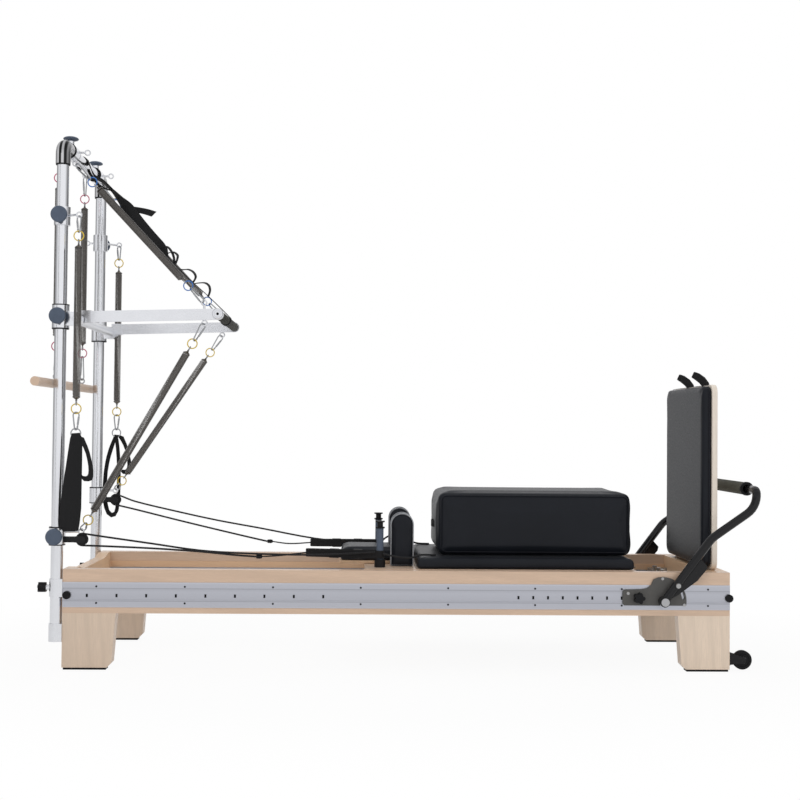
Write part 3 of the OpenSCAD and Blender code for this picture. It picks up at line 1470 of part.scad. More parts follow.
hand_strap_far();
pulley_ropes();
rope_loops();
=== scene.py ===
"""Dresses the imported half-tower reformer: timber, metal, upholstery, springs, ropes and a studio."""

import math

import bmesh
import bpy
from bpy.props import FloatProperty, FloatVectorProperty, IntProperty, PointerProperty
from mathutils import Matrix, Vector


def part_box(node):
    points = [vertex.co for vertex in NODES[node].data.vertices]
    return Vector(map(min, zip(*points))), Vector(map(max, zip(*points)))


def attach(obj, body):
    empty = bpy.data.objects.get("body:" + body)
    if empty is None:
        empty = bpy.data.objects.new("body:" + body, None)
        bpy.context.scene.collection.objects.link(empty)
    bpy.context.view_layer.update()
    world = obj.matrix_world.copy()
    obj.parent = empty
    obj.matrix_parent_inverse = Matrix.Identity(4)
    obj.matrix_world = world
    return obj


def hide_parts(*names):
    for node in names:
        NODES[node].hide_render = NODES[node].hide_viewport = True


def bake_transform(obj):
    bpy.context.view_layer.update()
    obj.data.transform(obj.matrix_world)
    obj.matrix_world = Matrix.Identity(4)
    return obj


bl_info = {
    "name": "Tower Reformer Dressing",
    "version": (1, 0, 0),
    "blender": (4, 5, 0),
    "location": "3D View > Sidebar > Reformer",
    "description": "Finishes and soft pieces for a pilates reformer with a spring tower",
    "category": "Object",
}

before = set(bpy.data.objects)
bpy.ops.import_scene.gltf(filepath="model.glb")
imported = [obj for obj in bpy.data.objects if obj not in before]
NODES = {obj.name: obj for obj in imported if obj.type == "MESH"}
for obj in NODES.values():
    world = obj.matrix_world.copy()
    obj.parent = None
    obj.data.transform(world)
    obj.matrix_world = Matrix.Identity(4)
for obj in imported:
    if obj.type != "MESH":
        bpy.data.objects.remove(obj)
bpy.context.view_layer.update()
BED = "bed_and_tower"
SIDES = (("near", -1), ("far", 1))
# Station of the frame's origin, measured from the bed's head end, in millimetres
ORIGIN_STATION = 1195.0


def size_setting(name, description, default):
    return FloatProperty(name=name, description=description, default=default, unit="LENGTH")


def colour_setting(name, description, *default):
    return FloatVectorProperty(name=name, description=description, default=default, subtype="COLOR")


class ReformerSizes(bpy.types.PropertyGroup):
    """Sizes of the pieces that this file makes"""

    spring_wire: size_setting("Spring wire", "Thickness of the springs' wire", 0.0030)
    spring_width: size_setting("Spring width", "Outside diameter of the tower's springs", 0.027)
    coil_pitch: size_setting("Coil pitch", "Distance from one curl to the next", 0.0032)
    ring_wire: size_setting("Ring wire", "Thickness of a coloured ring", 0.004)
    rope_width: size_setting("Rope", "Diameter of the ropes", 0.007)
    webbing_thickness: size_setting("Webbing", "Thickness of the woven straps", 0.003)
    piping_width: size_setting("Piping", "Diameter of the piping on the shoulder rests", 0.0042)
    seam_width: size_setting("Seam", "Diameter of the sitting box's sewn edge", 0.0036)
    cloth_frames: IntProperty(
        name="Cloth frames", description="How long each cushion is blown up", default=16, min=1
    )


class ReformerColours(bpy.types.PropertyGroup):
    """Colours of the finishes, as linear values"""

    maple: colour_setting("Maple", "Lacquered maple", 0.63, 0.465, 0.345)
    anodised: colour_setting("Anodised", "Side profiles and tracks", 0.50, 0.51, 0.56)
    bright: colour_setting("Bright metal", "Tower tubes and collars", 0.80, 0.81, 0.84)
    satin: colour_setting("Satin metal", "Push bar's arms and clamps", 0.80, 0.81, 0.84)
    spring: colour_setting("Spring steel", "Drawn spring wire", 0.17, 0.16, 0.15)
    leather: colour_setting("Upholstery", "Smooth synthetic leather", 0.0085, 0.0100, 0.0140)
    piping: colour_setting("Piping", "Grey piping", 0.32, 0.33, 0.35)
    webbing: colour_setting("Webbing", "Woven straps and ropes", 0.0075, 0.0075, 0.0082)
    slate: colour_setting("Slate plastic", "Knobs and post sleeves", 0.085, 0.108, 0.150)
    black: colour_setting("Black plastic", "Moulded black pieces", 0.0065, 0.0065, 0.0075)
    taupe: colour_setting("Taupe paint", "Quadrant brackets", 0.088, 0.085, 0.080)
    olive: colour_setting("Olive foam", "Footbar grip", 0.052, 0.052, 0.040)
    yellow: colour_setting("Yellow ring", "Hand and lower springs", 0.70, 0.50, 0.06)
    blue: colour_setting("Blue ring", "Upper push bar springs", 0.03, 0.16, 0.50)
    red: colour_setting("Red ring", "Roll-down springs", 0.55, 0.12, 0.20)


def sizes():
    return bpy.context.scene.reformer_sizes


def colours():
    return bpy.context.scene.reformer_colours


def at(station, y, z):
    """A point in metres from a station, a distance across and a height in millimetres."""
    return Vector(((station - ORIGIN_STATION) / 1000, y / 1000, z / 1000))


# Finishes


class Shading:
    """A tree of shading nodes, with short ways to add and join them."""

    def __init__(self, tree):
        self.tree = tree

    def add(self, kind, **settings):
        made = self.tree.nodes.new(kind)
        for key, value in settings.items():
            setattr(made, key, value)
        return made

    def join(self, output, target):
        self.tree.links.new(output, target)

    def ramp(self, value, *stops):
        made = self.add("ShaderNodeValToRGB")
        elements = made.color_ramp.elements
        while len(elements) < len(stops):
            elements.new(0.5)
        for element, (place, colour) in zip(elements, stops):
            element.position = place
            element.color = (*colour, 1)
        self.join(value, made.inputs["Fac"])
        return made.outputs["Color"]

    def span(self, value, low, high, to_low=0.0, to_high=1.0):
        made = self.add("ShaderNodeMapRange")
        for socket, number in zip(made.inputs[1:5], (low, high, to_low, to_high)):
            socket.default_value = number
        self.join(value, made.inputs[0])
        return made.outputs[0]

    def sum(self, kind, a, b):
        made = self.add("ShaderNodeMath", operation=kind)
        for socket, value in zip(made.inputs, (a, b)):
            if isinstance(value, (int, float)):
                socket.default_value = value
            else:
                self.join(value, socket)
        return made.outputs[0]

    def mix(self, share, a, b):
        made = self.add("ShaderNodeMix", data_type="RGBA")
        for socket, value in zip((made.inputs[0], made.inputs[6], made.inputs[7]), (share, a, b)):
            if isinstance(value, (int, float)):
                socket.default_value = value
            elif isinstance(value, tuple):
                socket.default_value = (*value, 1)
            else:
                self.join(value, socket)
        return made.outputs[2]


class Finish(Shading):
    """A material under construction."""

    def __init__(self, name):
        self.material = bpy.data.materials.new(name)
        self.material.use_nodes = True
        super().__init__(self.material.node_tree)
        self.shader = self.tree.nodes["Principled BSDF"]

    def surface(self, **values):
        for key, value in values.items():
            socket = self.shader.inputs[key.replace("_", " ")]
            socket.default_value = (*value, 1) if key == "Base_Color" else value

    def placed(self, source, scale):
        mapping = self.add("ShaderNodeMapping")
        mapping.inputs["Scale"].default_value = scale
        self.join(source, mapping.inputs["Vector"])
        return mapping.outputs["Vector"]

    def object_place(self, scale=(1, 1, 1)):
        return self.placed(self.add("ShaderNodeTexCoord").outputs["Object"], scale)

    def strip_place(self, scale=(1, 1, 1)):
        return self.placed(self.add("ShaderNodeUVMap", uv_map="strip").outputs["UV"], scale)

    def noise(self, place, scale, detail=3.0, roughness=0.55):
        made = self.add("ShaderNodeTexNoise")
        for key, value in (("Scale", scale), ("Detail", detail), ("Roughness", roughness)):
            made.inputs[key].default_value = value
        self.join(place, made.inputs["Vector"])
        return made.outputs["Fac"]

    def cells(self, place, scale):
        made = self.add("ShaderNodeTexVoronoi")
        made.inputs["Scale"].default_value = scale
        self.join(place, made.inputs["Vector"])
        return made.outputs["Distance"]

    def wave(self, place, scale, axis, distortion=0.0):
        made = self.add("ShaderNodeTexWave", bands_direction=axis)
        made.inputs["Scale"].default_value = scale
        made.inputs["Distortion"].default_value = distortion
        self.join(place, made.inputs["Vector"])
        return made.outputs["Fac"]

    def axis(self, which):
        """Object coordinate along X, Y or Z."""
        coordinates = self.add("ShaderNodeTexCoord")
        split = self.add("ShaderNodeSeparateXYZ")
        self.join(coordinates.outputs["Object"], split.inputs[0])
        return split.outputs[which]

    def colour(self, output):
        self.join(output, self.shader.inputs["Base Color"])

    def roughness(self, output):
        self.join(output, self.shader.inputs["Roughness"])

    def bump(self, height, strength, distance=0.001):
        made = self.add("ShaderNodeBump")
        made.inputs["Strength"].default_value = strength
        made.inputs["Distance"].default_value = distance
        self.join(height, made.inputs["Height"])
        self.join(made.outputs["Normal"], self.shader.inputs["Normal"])


def shade(colour, factor):
    """A colour made lighter or darker, by one factor or by one for each channel."""
    factors = factor if isinstance(factor, tuple) else (factor,) * 3
    return tuple(min(1.0, part * times) for part, times in zip(colour, factors))


def greys(*stops, blue=1.0):
    """Stops of a grey ramp, a touch bluer if told."""
    return [(spot, (grey, grey, grey * blue)) for spot, grey in stops]


GRAIN_SCALES = {"X": (1.0, 14.0, 14.0), "Y": (14.0, 1.0, 14.0), "Z": (14.0, 14.0, 1.0)}


def maple(axis, name, tone=1.0, foot_painted_light=None):
    """Pale maple whose grain runs along one axis, under clear lacquer, with painted light if told: paler
    towards the foot end, as if lit more strongly there.
    """
    finish = Finish(name)
    base = shade(colours().maple, tone)
    place = finish.object_place(GRAIN_SCALES[axis])
    broad = finish.noise(place, 1.6, 4.0, 0.6)
    fibre = finish.noise(place, 22.0, 6.0, 0.7)
    pores = finish.noise(place, 90.0, 2.0, 0.5)
    figure = finish.wave(place, 0.9, "DIAGONAL", 6.0)
    body = finish.ramp(broad, (0.3, shade(base, 0.93)), (0.7, shade(base, 1.06)))
    streak = finish.mix(finish.span(fibre, 0.35, 0.75), body, shade(base, 0.87))
    grain = finish.mix(finish.span(figure, 0.55, 1.0, 0.0, 0.32), streak, shade(base, 0.80))
    wood = finish.mix(finish.span(pores, 0.66, 0.78, 0.0, 0.35), grain, shade(base, 0.70))
    # Painted light: the colour is multiplied up towards the foot end.
    if foot_painted_light:
        lighter = finish.add("ShaderNodeVectorMath", operation="MULTIPLY")
        finish.join(wood, lighter.inputs[0])
        lighter.inputs[1].default_value = foot_painted_light
        wood = finish.mix(finish.span(finish.axis(0), 0.2, 0.9), wood, lighter.outputs[0])
    finish.colour(wood)
    finish.roughness(finish.span(fibre, 0.2, 0.8, 0.34, 0.46))
    finish.surface(Coat_Weight=0.25, Coat_Roughness=0.22)
    finish.bump(fibre, 0.10, 0.0004)
    return finish.material


def brushed(name, base, scales, rough=(0.28, 0.42), metal=1.0, depth=0.25):
    """Metal with a fine lengthwise brush and faint cloudiness."""
    finish = Finish(name)
    lines = finish.noise(finish.object_place(scales), 60.0, 4.0, 0.7)
    clouds = finish.noise(finish.object_place(), 6.0, 3.0)
    tone = finish.ramp(clouds, (0.3, shade(base, 1 - depth * 0.2)), (0.7, shade(base, 1 + depth * 0.16)))
    finish.colour(finish.mix(finish.span(lines, 0.3, 0.7, 0.0, depth), tone, shade(base, 0.88)))
    finish.roughness(finish.span(lines, 0.25, 0.75, *rough))
    finish.surface(Metallic=metal)
    finish.bump(lines, depth * 0.2, 0.0001)
    return finish


def leather(name="upholstery_leather"):
    """Smooth synthetic leather with a fine pebbled grain."""
    finish = Finish(name)
    base = tuple(colours().leather)
    place = finish.object_place()
    pebbles = finish.cells(place, 900.0)
    creases = finish.noise(place, 160.0, 4.0, 0.6)
    patches = finish.noise(place, 5.0, 3.0)
    tone = finish.ramp(patches, (0.3, shade(base, 0.85)), (0.7, shade(base, 1.18)))
    finish.colour(finish.mix(finish.span(creases, 0.62, 0.8, 0.0, 0.35), tone, shade(base, 1.7)))
    finish.roughness(finish.span(creases, 0.3, 0.7, 0.34, 0.47))
    finish.surface(Specular_IOR_Level=0.18, Sheen_Weight=0.02, Sheen_Roughness=0.4)
    grain = finish.sum("ADD", finish.sum("MULTIPLY", pebbles, 0.6), creases)
    finish.bump(grain, 0.22, 0.0004)
    return finish.material


def moulded(name, base, rough=(0.42, 0.56), speckle=1400.0):
    """Moulded plastic or rubber with a fine spark-eroded skin."""
    finish = Finish(name)
    place = finish.object_place()
    grit = finish.noise(place, speckle, 2.0, 0.6)
    wear = finish.noise(place, 24.0, 4.0)
    finish.colour(finish.ramp(wear, (0.3, shade(base, 0.88)), (0.72, shade(base, 1.16))))
    finish.roughness(finish.span(wear, 0.3, 0.7, *rough))
    finish.surface(Specular_IOR_Level=0.2)
    finish.bump(grit, 0.12, 0.0003)
    return finish


def painted(name, base, rough=(0.14, 0.20), coat=0.12):
    """Powder-coated metal with a slight orange peel."""
    finish = Finish(name)
    place = finish.object_place()
    peel = finish.noise(place, 320.0, 2.0, 0.5)
    dust = finish.noise(place, 18.0, 3.0)
    finish.colour(finish.ramp(dust, (0.3, shade(base, 0.9)), (0.7, shade(base, 1.12))))
    finish.roughness(finish.span(dust, 0.3, 0.7, *rough))
    finish.surface(Specular_IOR_Level=0.25, Coat_Weight=coat, Coat_Roughness=0.08)
    finish.bump(peel, 0.10, 0.0003)
    return finish


def foam(name, base):
    """Closed-cell foam: tiny open pores and a matt skin."""
    finish = Finish(name)
    place = finish.object_place()
    pores = finish.cells(place, 1100.0)
    clouds = finish.noise(place, 30.0, 3.0)
    tone = finish.ramp(clouds, (0.3, shade(base, 0.85)), (0.7, shade(base, 1.2)))
    finish.colour(finish.mix(finish.span(pores, 0.0, 0.25, 0.5, 0.0), tone, shade(base, 0.5)))
    finish.surface(Roughness=0.85)
    finish.bump(pores, 0.35, 0.0004)
    return finish.material


def webbing(name="woven_webbing"):
    """Flat webbing: ribs across the strap and a twill along it."""
    finish = Finish(name)
    base = tuple(colours().webbing)
    ribs = finish.wave(finish.strip_place((1, 1, 1)), 220.0, "X")
    twill = finish.wave(finish.strip_place((1, 1, 1)), 160.0, "DIAGONAL")
    weave = finish.sum("MULTIPLY", ribs, twill)
    finish.colour(finish.ramp(weave, (0.1, shade(base, 0.7)), (0.8, shade(base, 2.2))))
    finish.surface(Roughness=0.8, Specular_IOR_Level=0.3, Sheen_Weight=0.05, Sheen_Roughness=0.5)
    finish.bump(weave, 0.45, 0.0005)
    return finish.material


def braid(name="braided_rope"):
    """Braided rope: two sets of strands that cross."""
    finish = Finish(name)
    base = tuple(colours().webbing)
    one = finish.wave(finish.strip_place((1, 0.62, 1)), 90.0, "DIAGONAL")
    other = finish.wave(finish.strip_place((1, -0.62, 1)), 90.0, "DIAGONAL")
    strands = finish.sum("MAXIMUM", one, other)
    finish.colour(finish.ramp(strands, (0.35, shade(base, 0.6)), (0.9, shade(base, 2.4))))
    finish.surface(Roughness=0.75, Specular_IOR_Level=0.3, Sheen_Weight=0.04, Sheen_Roughness=0.5)
    finish.bump(strands, 0.6, 0.0008)
    return finish.material


def two_part(finish_name, make, low_colour, high_colour, which, edges, folded=False, **settings):
    """A moulded or painted finish that changes colour at given places along one axis."""
    finish = make(finish_name, low_colour, **settings)
    value = finish.axis(which)
    if folded:
        value = finish.sum("ABSOLUTE", value, 0)
    old = finish.shader.inputs["Base Color"].links[0].from_socket
    inside = None
    for edge in edges:
        step = finish.sum("GREATER_THAN", value, edge)
        inside = step if inside is None else finish.sum("SUBTRACT", inside, step)
    finish.colour(finish.mix(inside, old, tuple(high_colour)))
    return finish, inside


STOCK = {}


def finish_for(name):
    """The material of that name, made when it is first asked for."""
    if name not in STOCK:
        STOCK[name] = MAKERS[name]()
    return STOCK[name]


# Lowest and highest Z of the side profiles, and of the track that the rollers run on, in metres
PROFILE_HEIGHTS = (0.219, 0.307)
TRACK_HEIGHT = 0.2915
# Painted shade and highlight along the profile's height, from its lower edge to its upper one: darker lines
# painted at its grooves, lighter painted edges
GROOVE_PAINTED_SHADE_AND_HIGHLIGHT = (
    (0.0, 1.08), (0.05, 1.0), (0.23, 1.0), (0.245, 0.66), (0.27, 0.94), (0.62, 1.02), (0.735, 0.94),
    (0.75, 0.66), (0.775, 1.0), (0.93, 1.04), (1.0, 1.18),
)


def profile_face():
    """Distance of the profiles' outer faces from the middle."""
    return -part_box("side_profiles")[0][1]


def anodised_profile():
    """Extruded side profile: painted shade lines at its long grooves and painted highlights at its edges
    outside, and a timber facing above the track inside.
    """
    finish = brushed("anodised_profile", tuple(colours().anodised), (1, 20, 20), (0.34, 0.46), depth=0.15)
    metal = finish.shader.inputs["Base Color"].links[0].from_socket
    base = tuple(colours().anodised)
    height = finish.span(finish.axis(2), *PROFILE_HEIGHTS)
    # Painted shade and highlight: the outer face is darkened at the grooves and lightened at its edges.
    lines = finish.ramp(height, *((spot, shade(base, times)) for spot, times in GROOVE_PAINTED_SHADE_AND_HIGHLIGHT))
    across = finish.sum("ABSOLUTE", finish.axis(1), 0)
    inner = profile_face() - 0.014
    outside = finish.sum("GREATER_THAN", across, inner)
    fibre = finish.noise(finish.object_place((1.2, 30, 30)), 12.0, 5.0, 0.65)
    maple_stops = ((0.3, (1.16, 1.02, 0.84)), (0.7, (1.28, 1.16, 0.98)))
    timber = finish.ramp(fibre, *((spot, shade(colours().maple, times)) for spot, times in maple_stops))
    web = finish.sum("GREATER_THAN", finish.axis(2), TRACK_HEIGHT)
    web = finish.sum("MULTIPLY", web, finish.sum("LESS_THAN", across, inner))
    plain = finish.mix(outside, metal, lines)
    finish.colour(finish.mix(web, plain, timber))
    finish.join(finish.sum("SUBTRACT", 1.0, web), finish.shader.inputs["Metallic"])
    return finish.material


def elbow_painted_reflection():
    """Polished elbow with painted reflections: dark and light strips painted into its colour by which way
    each side faces.
    """
    finish = Finish("polished_elbow")
    facing = finish.add("ShaderNodeNewGeometry")
    split = finish.add("ShaderNodeSeparateXYZ")
    finish.join(facing.outputs["Normal"], split.inputs[0])
    place = finish.span(split.outputs[0], -1.0, 1.0)
    # Painted reflection: grey levels of the colour by the way the side faces, from the head end round to the
    # foot end.
    stops = (
        (0.0, 0.22), (0.10, 0.62), (0.28, 0.66), (0.33, 0.02), (0.45, 0.02), (0.50, 0.60), (0.62, 0.55),
        (0.67, 0.02), (0.80, 0.02), (0.88, 0.40), (1.0, 0.30),
    )
    finish.colour(finish.ramp(place, *greys(*stops, blue=1.02)))
    haze = finish.noise(finish.object_place(), 30.0, 3.0)
    finish.roughness(finish.span(haze, 0.3, 0.7, 0.10, 0.16))
    finish.surface(Metallic=1.0)
    return finish.material


def post_plastic():
    """Rope posts: black foot and spool, slate sleeve."""
    black, slate = tuple(colours().black), tuple(colours().slate)
    finish, _ = two_part("rope_post_plastic", moulded, black, slate, 2, (0.3825, 0.4935))
    return finish.material


def wheel_rubber(x, z):
    """Black tyre with a grey hub."""
    finish = moulded("transport_wheel", tuple(colours().black), (0.5, 0.65))
    across = finish.sum("POWER", finish.sum("SUBTRACT", finish.axis(0), x), 2)
    up = finish.sum("POWER", finish.sum("SUBTRACT", finish.axis(2), z), 2)
    reach = finish.sum("POWER", finish.sum("ADD", across, up), 0.5)
    hub = finish.sum("LESS_THAN", reach, 0.0125)
    old = finish.shader.inputs["Base Color"].links[0].from_socket
    finish.colour(finish.mix(hub, old, (0.22, 0.22, 0.23)))
    return finish.material


def bracket_paint():
    """Taupe quadrants whose pivot pins are plated."""
    taupe, plated = tuple(colours().taupe), (0.45, 0.45, 0.46)
    finish, pin = two_part(
        "quadrant_paint", painted, taupe, plated, 1, (0.3372,), True, rough=(0.38, 0.5), coat=0.1
    )
    finish.join(pin, finish.shader.inputs["Metallic"])
    return finish.material


def roll_bar_wood():
    finish = Finish("roll_bar_maple")
    base = tuple(colours().maple)
    fibre = finish.noise(finish.object_place((60, 1.5, 60)), 8.0, 5.0, 0.65)
    wood = finish.ramp(fibre, (0.3, shade(base, 0.9)), (0.7, shade(base, 1.08)))
    eyelet = finish.sum("GREATER_THAN", finish.axis(2), 1.0212)
    finish.colour(finish.mix(eyelet, wood, (0.45, 0.45, 0.46)))
    finish.join(eyelet, finish.shader.inputs["Metallic"])
    finish.surface(Roughness=0.38)
    finish.bump(fibre, 0.12, 0.0004)
    return finish.material


def deck_wood():
    """Maple deck with plated hangers under it."""
    finish = Finish("carriage_deck_maple")
    base = tuple(colours().maple)
    fibre = finish.noise(finish.object_place((1.2, 40, 40)), 9.0, 6.0, 0.65)
    wood = finish.ramp(fibre, (0.3, shade(base, 0.92)), (0.7, shade(base, 1.06)))
    hanger = finish.sum("LESS_THAN", finish.axis(2), 0.3308)
    finish.colour(finish.mix(hanger, wood, (0.40, 0.40, 0.41)))
    finish.join(hanger, finish.shader.inputs["Metallic"])
    finish.surface(Roughness=0.40, Coat_Weight=0.2, Coat_Roughness=0.2)
    finish.bump(fibre, 0.10, 0.0004)
    return finish.material


def plain(make, name, base, *settings, **more):
    """A maker for a finish of one colour, given as it is or by its name among the settings."""

    def made():
        colour = tuple(getattr(colours(), base)) if isinstance(base, str) else base
        return make(name, colour, *settings, **more).material

    return made


MAKERS = {
    "rail_maple": lambda: maple("X", "rail_maple", (1.10, 1.08, 1.06)),
    # The legs' second set of factors is painted light: the legs are painted paler towards the foot end.
    "leg_maple": lambda: maple("Z", "leg_maple", (1.12, 1.20, 1.25), (1.16, 1.20, 1.23)),
    "board_maple": lambda: maple("Z", "board_maple", (1.32, 1.60, 1.86)),
    "end_maple": lambda: maple("Y", "end_maple", (1.24, 1.15, 0.98)),
    "roll_bar_maple": roll_bar_wood,
    "deck_maple": deck_wood,
    "anodised": anodised_profile,
    "bright": plain(brushed, "bright_tube_metal", "bright", (30, 30, 0.6), (0.15, 0.19), depth=0.04),
    "satin": plain(brushed, "satin_aluminium", "satin", (1, 14, 14), (0.24, 0.34)),
    "steel": plain(brushed, "zinc_plated_steel", (0.42, 0.42, 0.42), (6, 6, 6), (0.22, 0.36)),
    "chrome": plain(brushed, "polished_chrome", (0.40, 0.41, 0.42), (4, 4, 4), (0.07, 0.11), depth=0.03),
    "elbow": elbow_painted_reflection,
    "spring": plain(brushed, "drawn_spring_steel", "spring", (5, 5, 5), (0.20, 0.30), depth=0.12),
    "leather": leather,
    "webbing": webbing,
    "braid": braid,
    "post": post_plastic,
    "quadrant": bracket_paint,
    "piping": plain(moulded, "grey_piping", "piping", (0.4, 0.55)),
    "slate": plain(moulded, "slate_plastic", "slate"),
    "black": plain(moulded, "black_plastic", "black"),
    "rubber": plain(moulded, "black_rubber", "black", (0.6, 0.75), 700.0),
    "gloss_black": plain(painted, "gloss_black_paint", "black"),
    "black_metal": plain(painted, "satin_black_paint", "black", (0.35, 0.5), 0.05),
    "olive_foam": lambda: foam("olive_foam", tuple(colours().olive)),
    "dark_foam": lambda: foam("dark_foam", shade(colours().olive, 0.55)),
    # Near-black, for painted shadow in holes and sockets.
    "socket": plain(moulded, "socket_shadow", (0.004, 0.004, 0.004), (0.7, 0.8)),
    "yellow": plain(painted, "yellow_ring_paint", "yellow"),
    "blue": plain(painted, "blue_ring_paint", "blue"),
    "red": plain(painted, "red_ring_paint", "red"),
}


# Shapes


def on_side(sign, station, y, z):
    """A point given for the near side, or its mirror image on the far side."""
    return at(station, -sign * y, z)


def along_curve(points, steps):
    """Points on a smooth curve through the given ones."""
    count = len(points)
    spans = [(b - a).length for a, b in zip(points, points[1:])]
    slopes = []
    for i in range(count):
        low, high = max(i - 1, 0), min(i + 1, count - 1)
        slopes.append((points[high] - points[low]) / sum(spans[low:high]))
    made = []
    for i, span in enumerate(spans):
        for step in range(steps):
            t = step / steps
            start = points[i] * (2 * t**3 - 3 * t**2 + 1) + slopes[i] * span * (t**3 - 2 * t**2 + t)
            end = points[i + 1] * (3 * t**2 - 2 * t**3) + slopes[i + 1] * span * (t**3 - t**2)
            made.append(start + end)
    return made + [points[-1]]


def frames_along(path, across=None, closed=False):
    """Place, width direction and thickness direction at each point of a path."""
    count = len(path)
    made = []
    side = across
    for i, point in enumerate(path):
        before = path[i - 1] if i or closed else point
        after = path[(i + 1) % count] if i < count - 1 or closed else point
        along = (after - before).normalized()
        if across is None:
            side = along.orthogonal() if side is None else side - along * side.dot(along)
            side.normalize()
        made.append((point, side.copy(), along.cross(side).normalized()))
    return made


def arc_points(centre, radius, turns):
    """Points of an arc at the given angles in degrees, as pairs of numbers."""
    angles = [math.radians(turn) for turn in turns]
    return [(centre[0] + radius * math.cos(turn), centre[1] + radius * math.sin(turn)) for turn in angles]


def disc(radius, sides):
    """Section of a round bar."""
    turns = [2 * math.pi * i / sides for i in range(sides)]
    return [(radius * math.cos(turn), radius * math.sin(turn)) for turn in turns]


def band(width, thickness):
    """Section of flat webbing with soft edges."""
    w, t = width / 2, thickness / 2
    return [(-w, 0), (t - w, t), (0, t), (w - t, t), (w, 0), (w - t, -t), (0, -t), (t - w, -t)]


def ribbon(half, edge=0.46):
    """Section of webbing whose width is the frame's own, from half its thickness."""
    front = [(-0.5, 0), (-edge, half), (0, half), (edge, half)]
    return front + [(0.5, 0), (edge, -half), (0, -half), (-edge, -half)]


def paint(bm, before, finish):
    """Gives the faces made since then a finish, and turns them outwards."""
    made = [face for face in bm.faces if face not in before]
    bmesh.ops.recalc_face_normals(bm, faces=made)
    for face in made:
        face.material_index = finish
    return made


def sweep(bm, frames, section, finish=0, closed=False):
    """Extrudes a section from frame to frame and lays a strip map in metres on it."""
    index = bm.verts.layers.int.get("index") or bm.verts.layers.int.new("index")
    ring = bm.verts.layers.int.get("ring") or bm.verts.layers.int.new("ring")
    strip = bm.loops.layers.uv.get("strip") or bm.loops.layers.uv.new("strip")
    before = set(bm.faces)
    count = len(section)
    girth = [0.0]
    for (a, b), (c, d) in zip(section, section[1:] + section[:1]):
        girth.append(girth[-1] + math.hypot(c - a, d - b))
    lengths = [0.0]
    for one, other in zip(frames, frames[1:]):
        lengths.append(lengths[-1] + (other[0] - one[0]).length)
    whole = lengths[-1] + (frames[0][0] - frames[-1][0]).length
    verts = []
    for i, (u, v) in enumerate(section):
        vert = bm.verts.new(frames[0][0] + frames[0][1] * u + frames[0][2] * v)
        vert[index] = i
        verts.append(vert)
    first = [bm.edges.new((verts[i], verts[(i + 1) % count])) for i in range(count)]
    last = first
    for step, (place, side, out) in enumerate(frames[1:], 1):
        made = bmesh.ops.extrude_edge_only(bm, edges=last)["geom"]
        fresh = {item for item in made if isinstance(item, bmesh.types.BMVert)}
        last = [item for item in made if isinstance(item, bmesh.types.BMEdge) and set(item.verts) <= fresh]
        for vert in fresh:
            u, v = section[vert[index]]
            vert.co = place + side * u + out * v
            vert[ring] = step
    if closed:
        bmesh.ops.bridge_loops(bm, edges=first + last)
    else:
        bmesh.ops.edgeloop_fill(bm, edges=first)
        bmesh.ops.edgeloop_fill(bm, edges=last)
    for face in paint(bm, before, finish):
        rings = {vert[ring] for vert in face.verts}
        marks = {vert[index] for vert in face.verts}
        joins = closed and 0 in rings and len(frames) - 1 in rings
        wraps = len(rings) > 1 and 0 in marks and count - 1 in marks
        for corner in face.loops:
            step, mark = corner.vert[ring], corner.vert[index]
            along = whole if joins and step == 0 else lengths[step]
            corner[strip].uv = (along, girth[count] if wraps and mark == 0 else girth[mark])


def turned(bm, profile, start, axis, finish=0, steps=24, closed=False):
    """Spins a profile of radii and distances along a line round that line."""
    axis = axis.normalized()
    side = axis.orthogonal().normalized()
    before = set(bm.faces)
    verts = [bm.verts.new(start + side * radius + axis * reach) for radius, reach in profile]
    edges = [bm.edges.new(pair) for pair in zip(verts, verts[1:])]
    if closed:
        edges.append(bm.edges.new((verts[-1], verts[0])))
    bmesh.ops.spin(
        bm,
        geom=verts + edges,
        cent=start,
        axis=axis,
        dvec=(0, 0, 0),
        angle=2 * math.pi,
        steps=steps,
        use_merge=True,
        use_duplicate=False,
    )
    near = {vert for face in bm.faces if face not in before for vert in face.verts}
    bmesh.ops.remove_doubles(bm, verts=list(near), dist=1e-6)
    paint(bm, before, finish)


def hoop(bm, centre, axis, radius, wire, finish=0, steps=28):
    """Round ring of wire."""
    profile = [(radius + u, v) for u, v in disc(wire / 2, 10)]
    turned(bm, profile, centre, axis, finish, steps, closed=True)


def bar(bm, start, end, radius, finish=0, steps=16, edge=0.0006):
    """Round bar with softened ends."""
    length = (end - start).length
    edge = min(edge, radius / 2)
    profile = [(0, 0), (radius - edge, 0), (radius, edge)]
    profile += [(radius, length - edge), (radius - edge, length), (0, length)]
    turned(bm, profile, start, end - start, finish, steps)


def soften(bm, edges, offset, segments):
    bmesh.ops.bevel(
        bm, geom=edges, offset=offset, offset_type="OFFSET", segments=segments, profile=0.5,
        affect="EDGES", material=-1,
    )


def slab(bm, low, high, edge, finish=0, segments=3):
    """Block between two corners, bevelled all round."""
    before = set(bm.faces)
    low, high = Vector(low), Vector(high)
    verts = bmesh.ops.create_cube(bm, size=1.0)["verts"]
    place = Matrix.Translation((low + high) / 2) @ Matrix.Diagonal((*(high - low), 1))
    bmesh.ops.transform(bm, matrix=place, verts=verts)
    soften(bm, list({item for vert in verts for item in vert.link_edges}), edge, segments)
    paint(bm, before, finish)


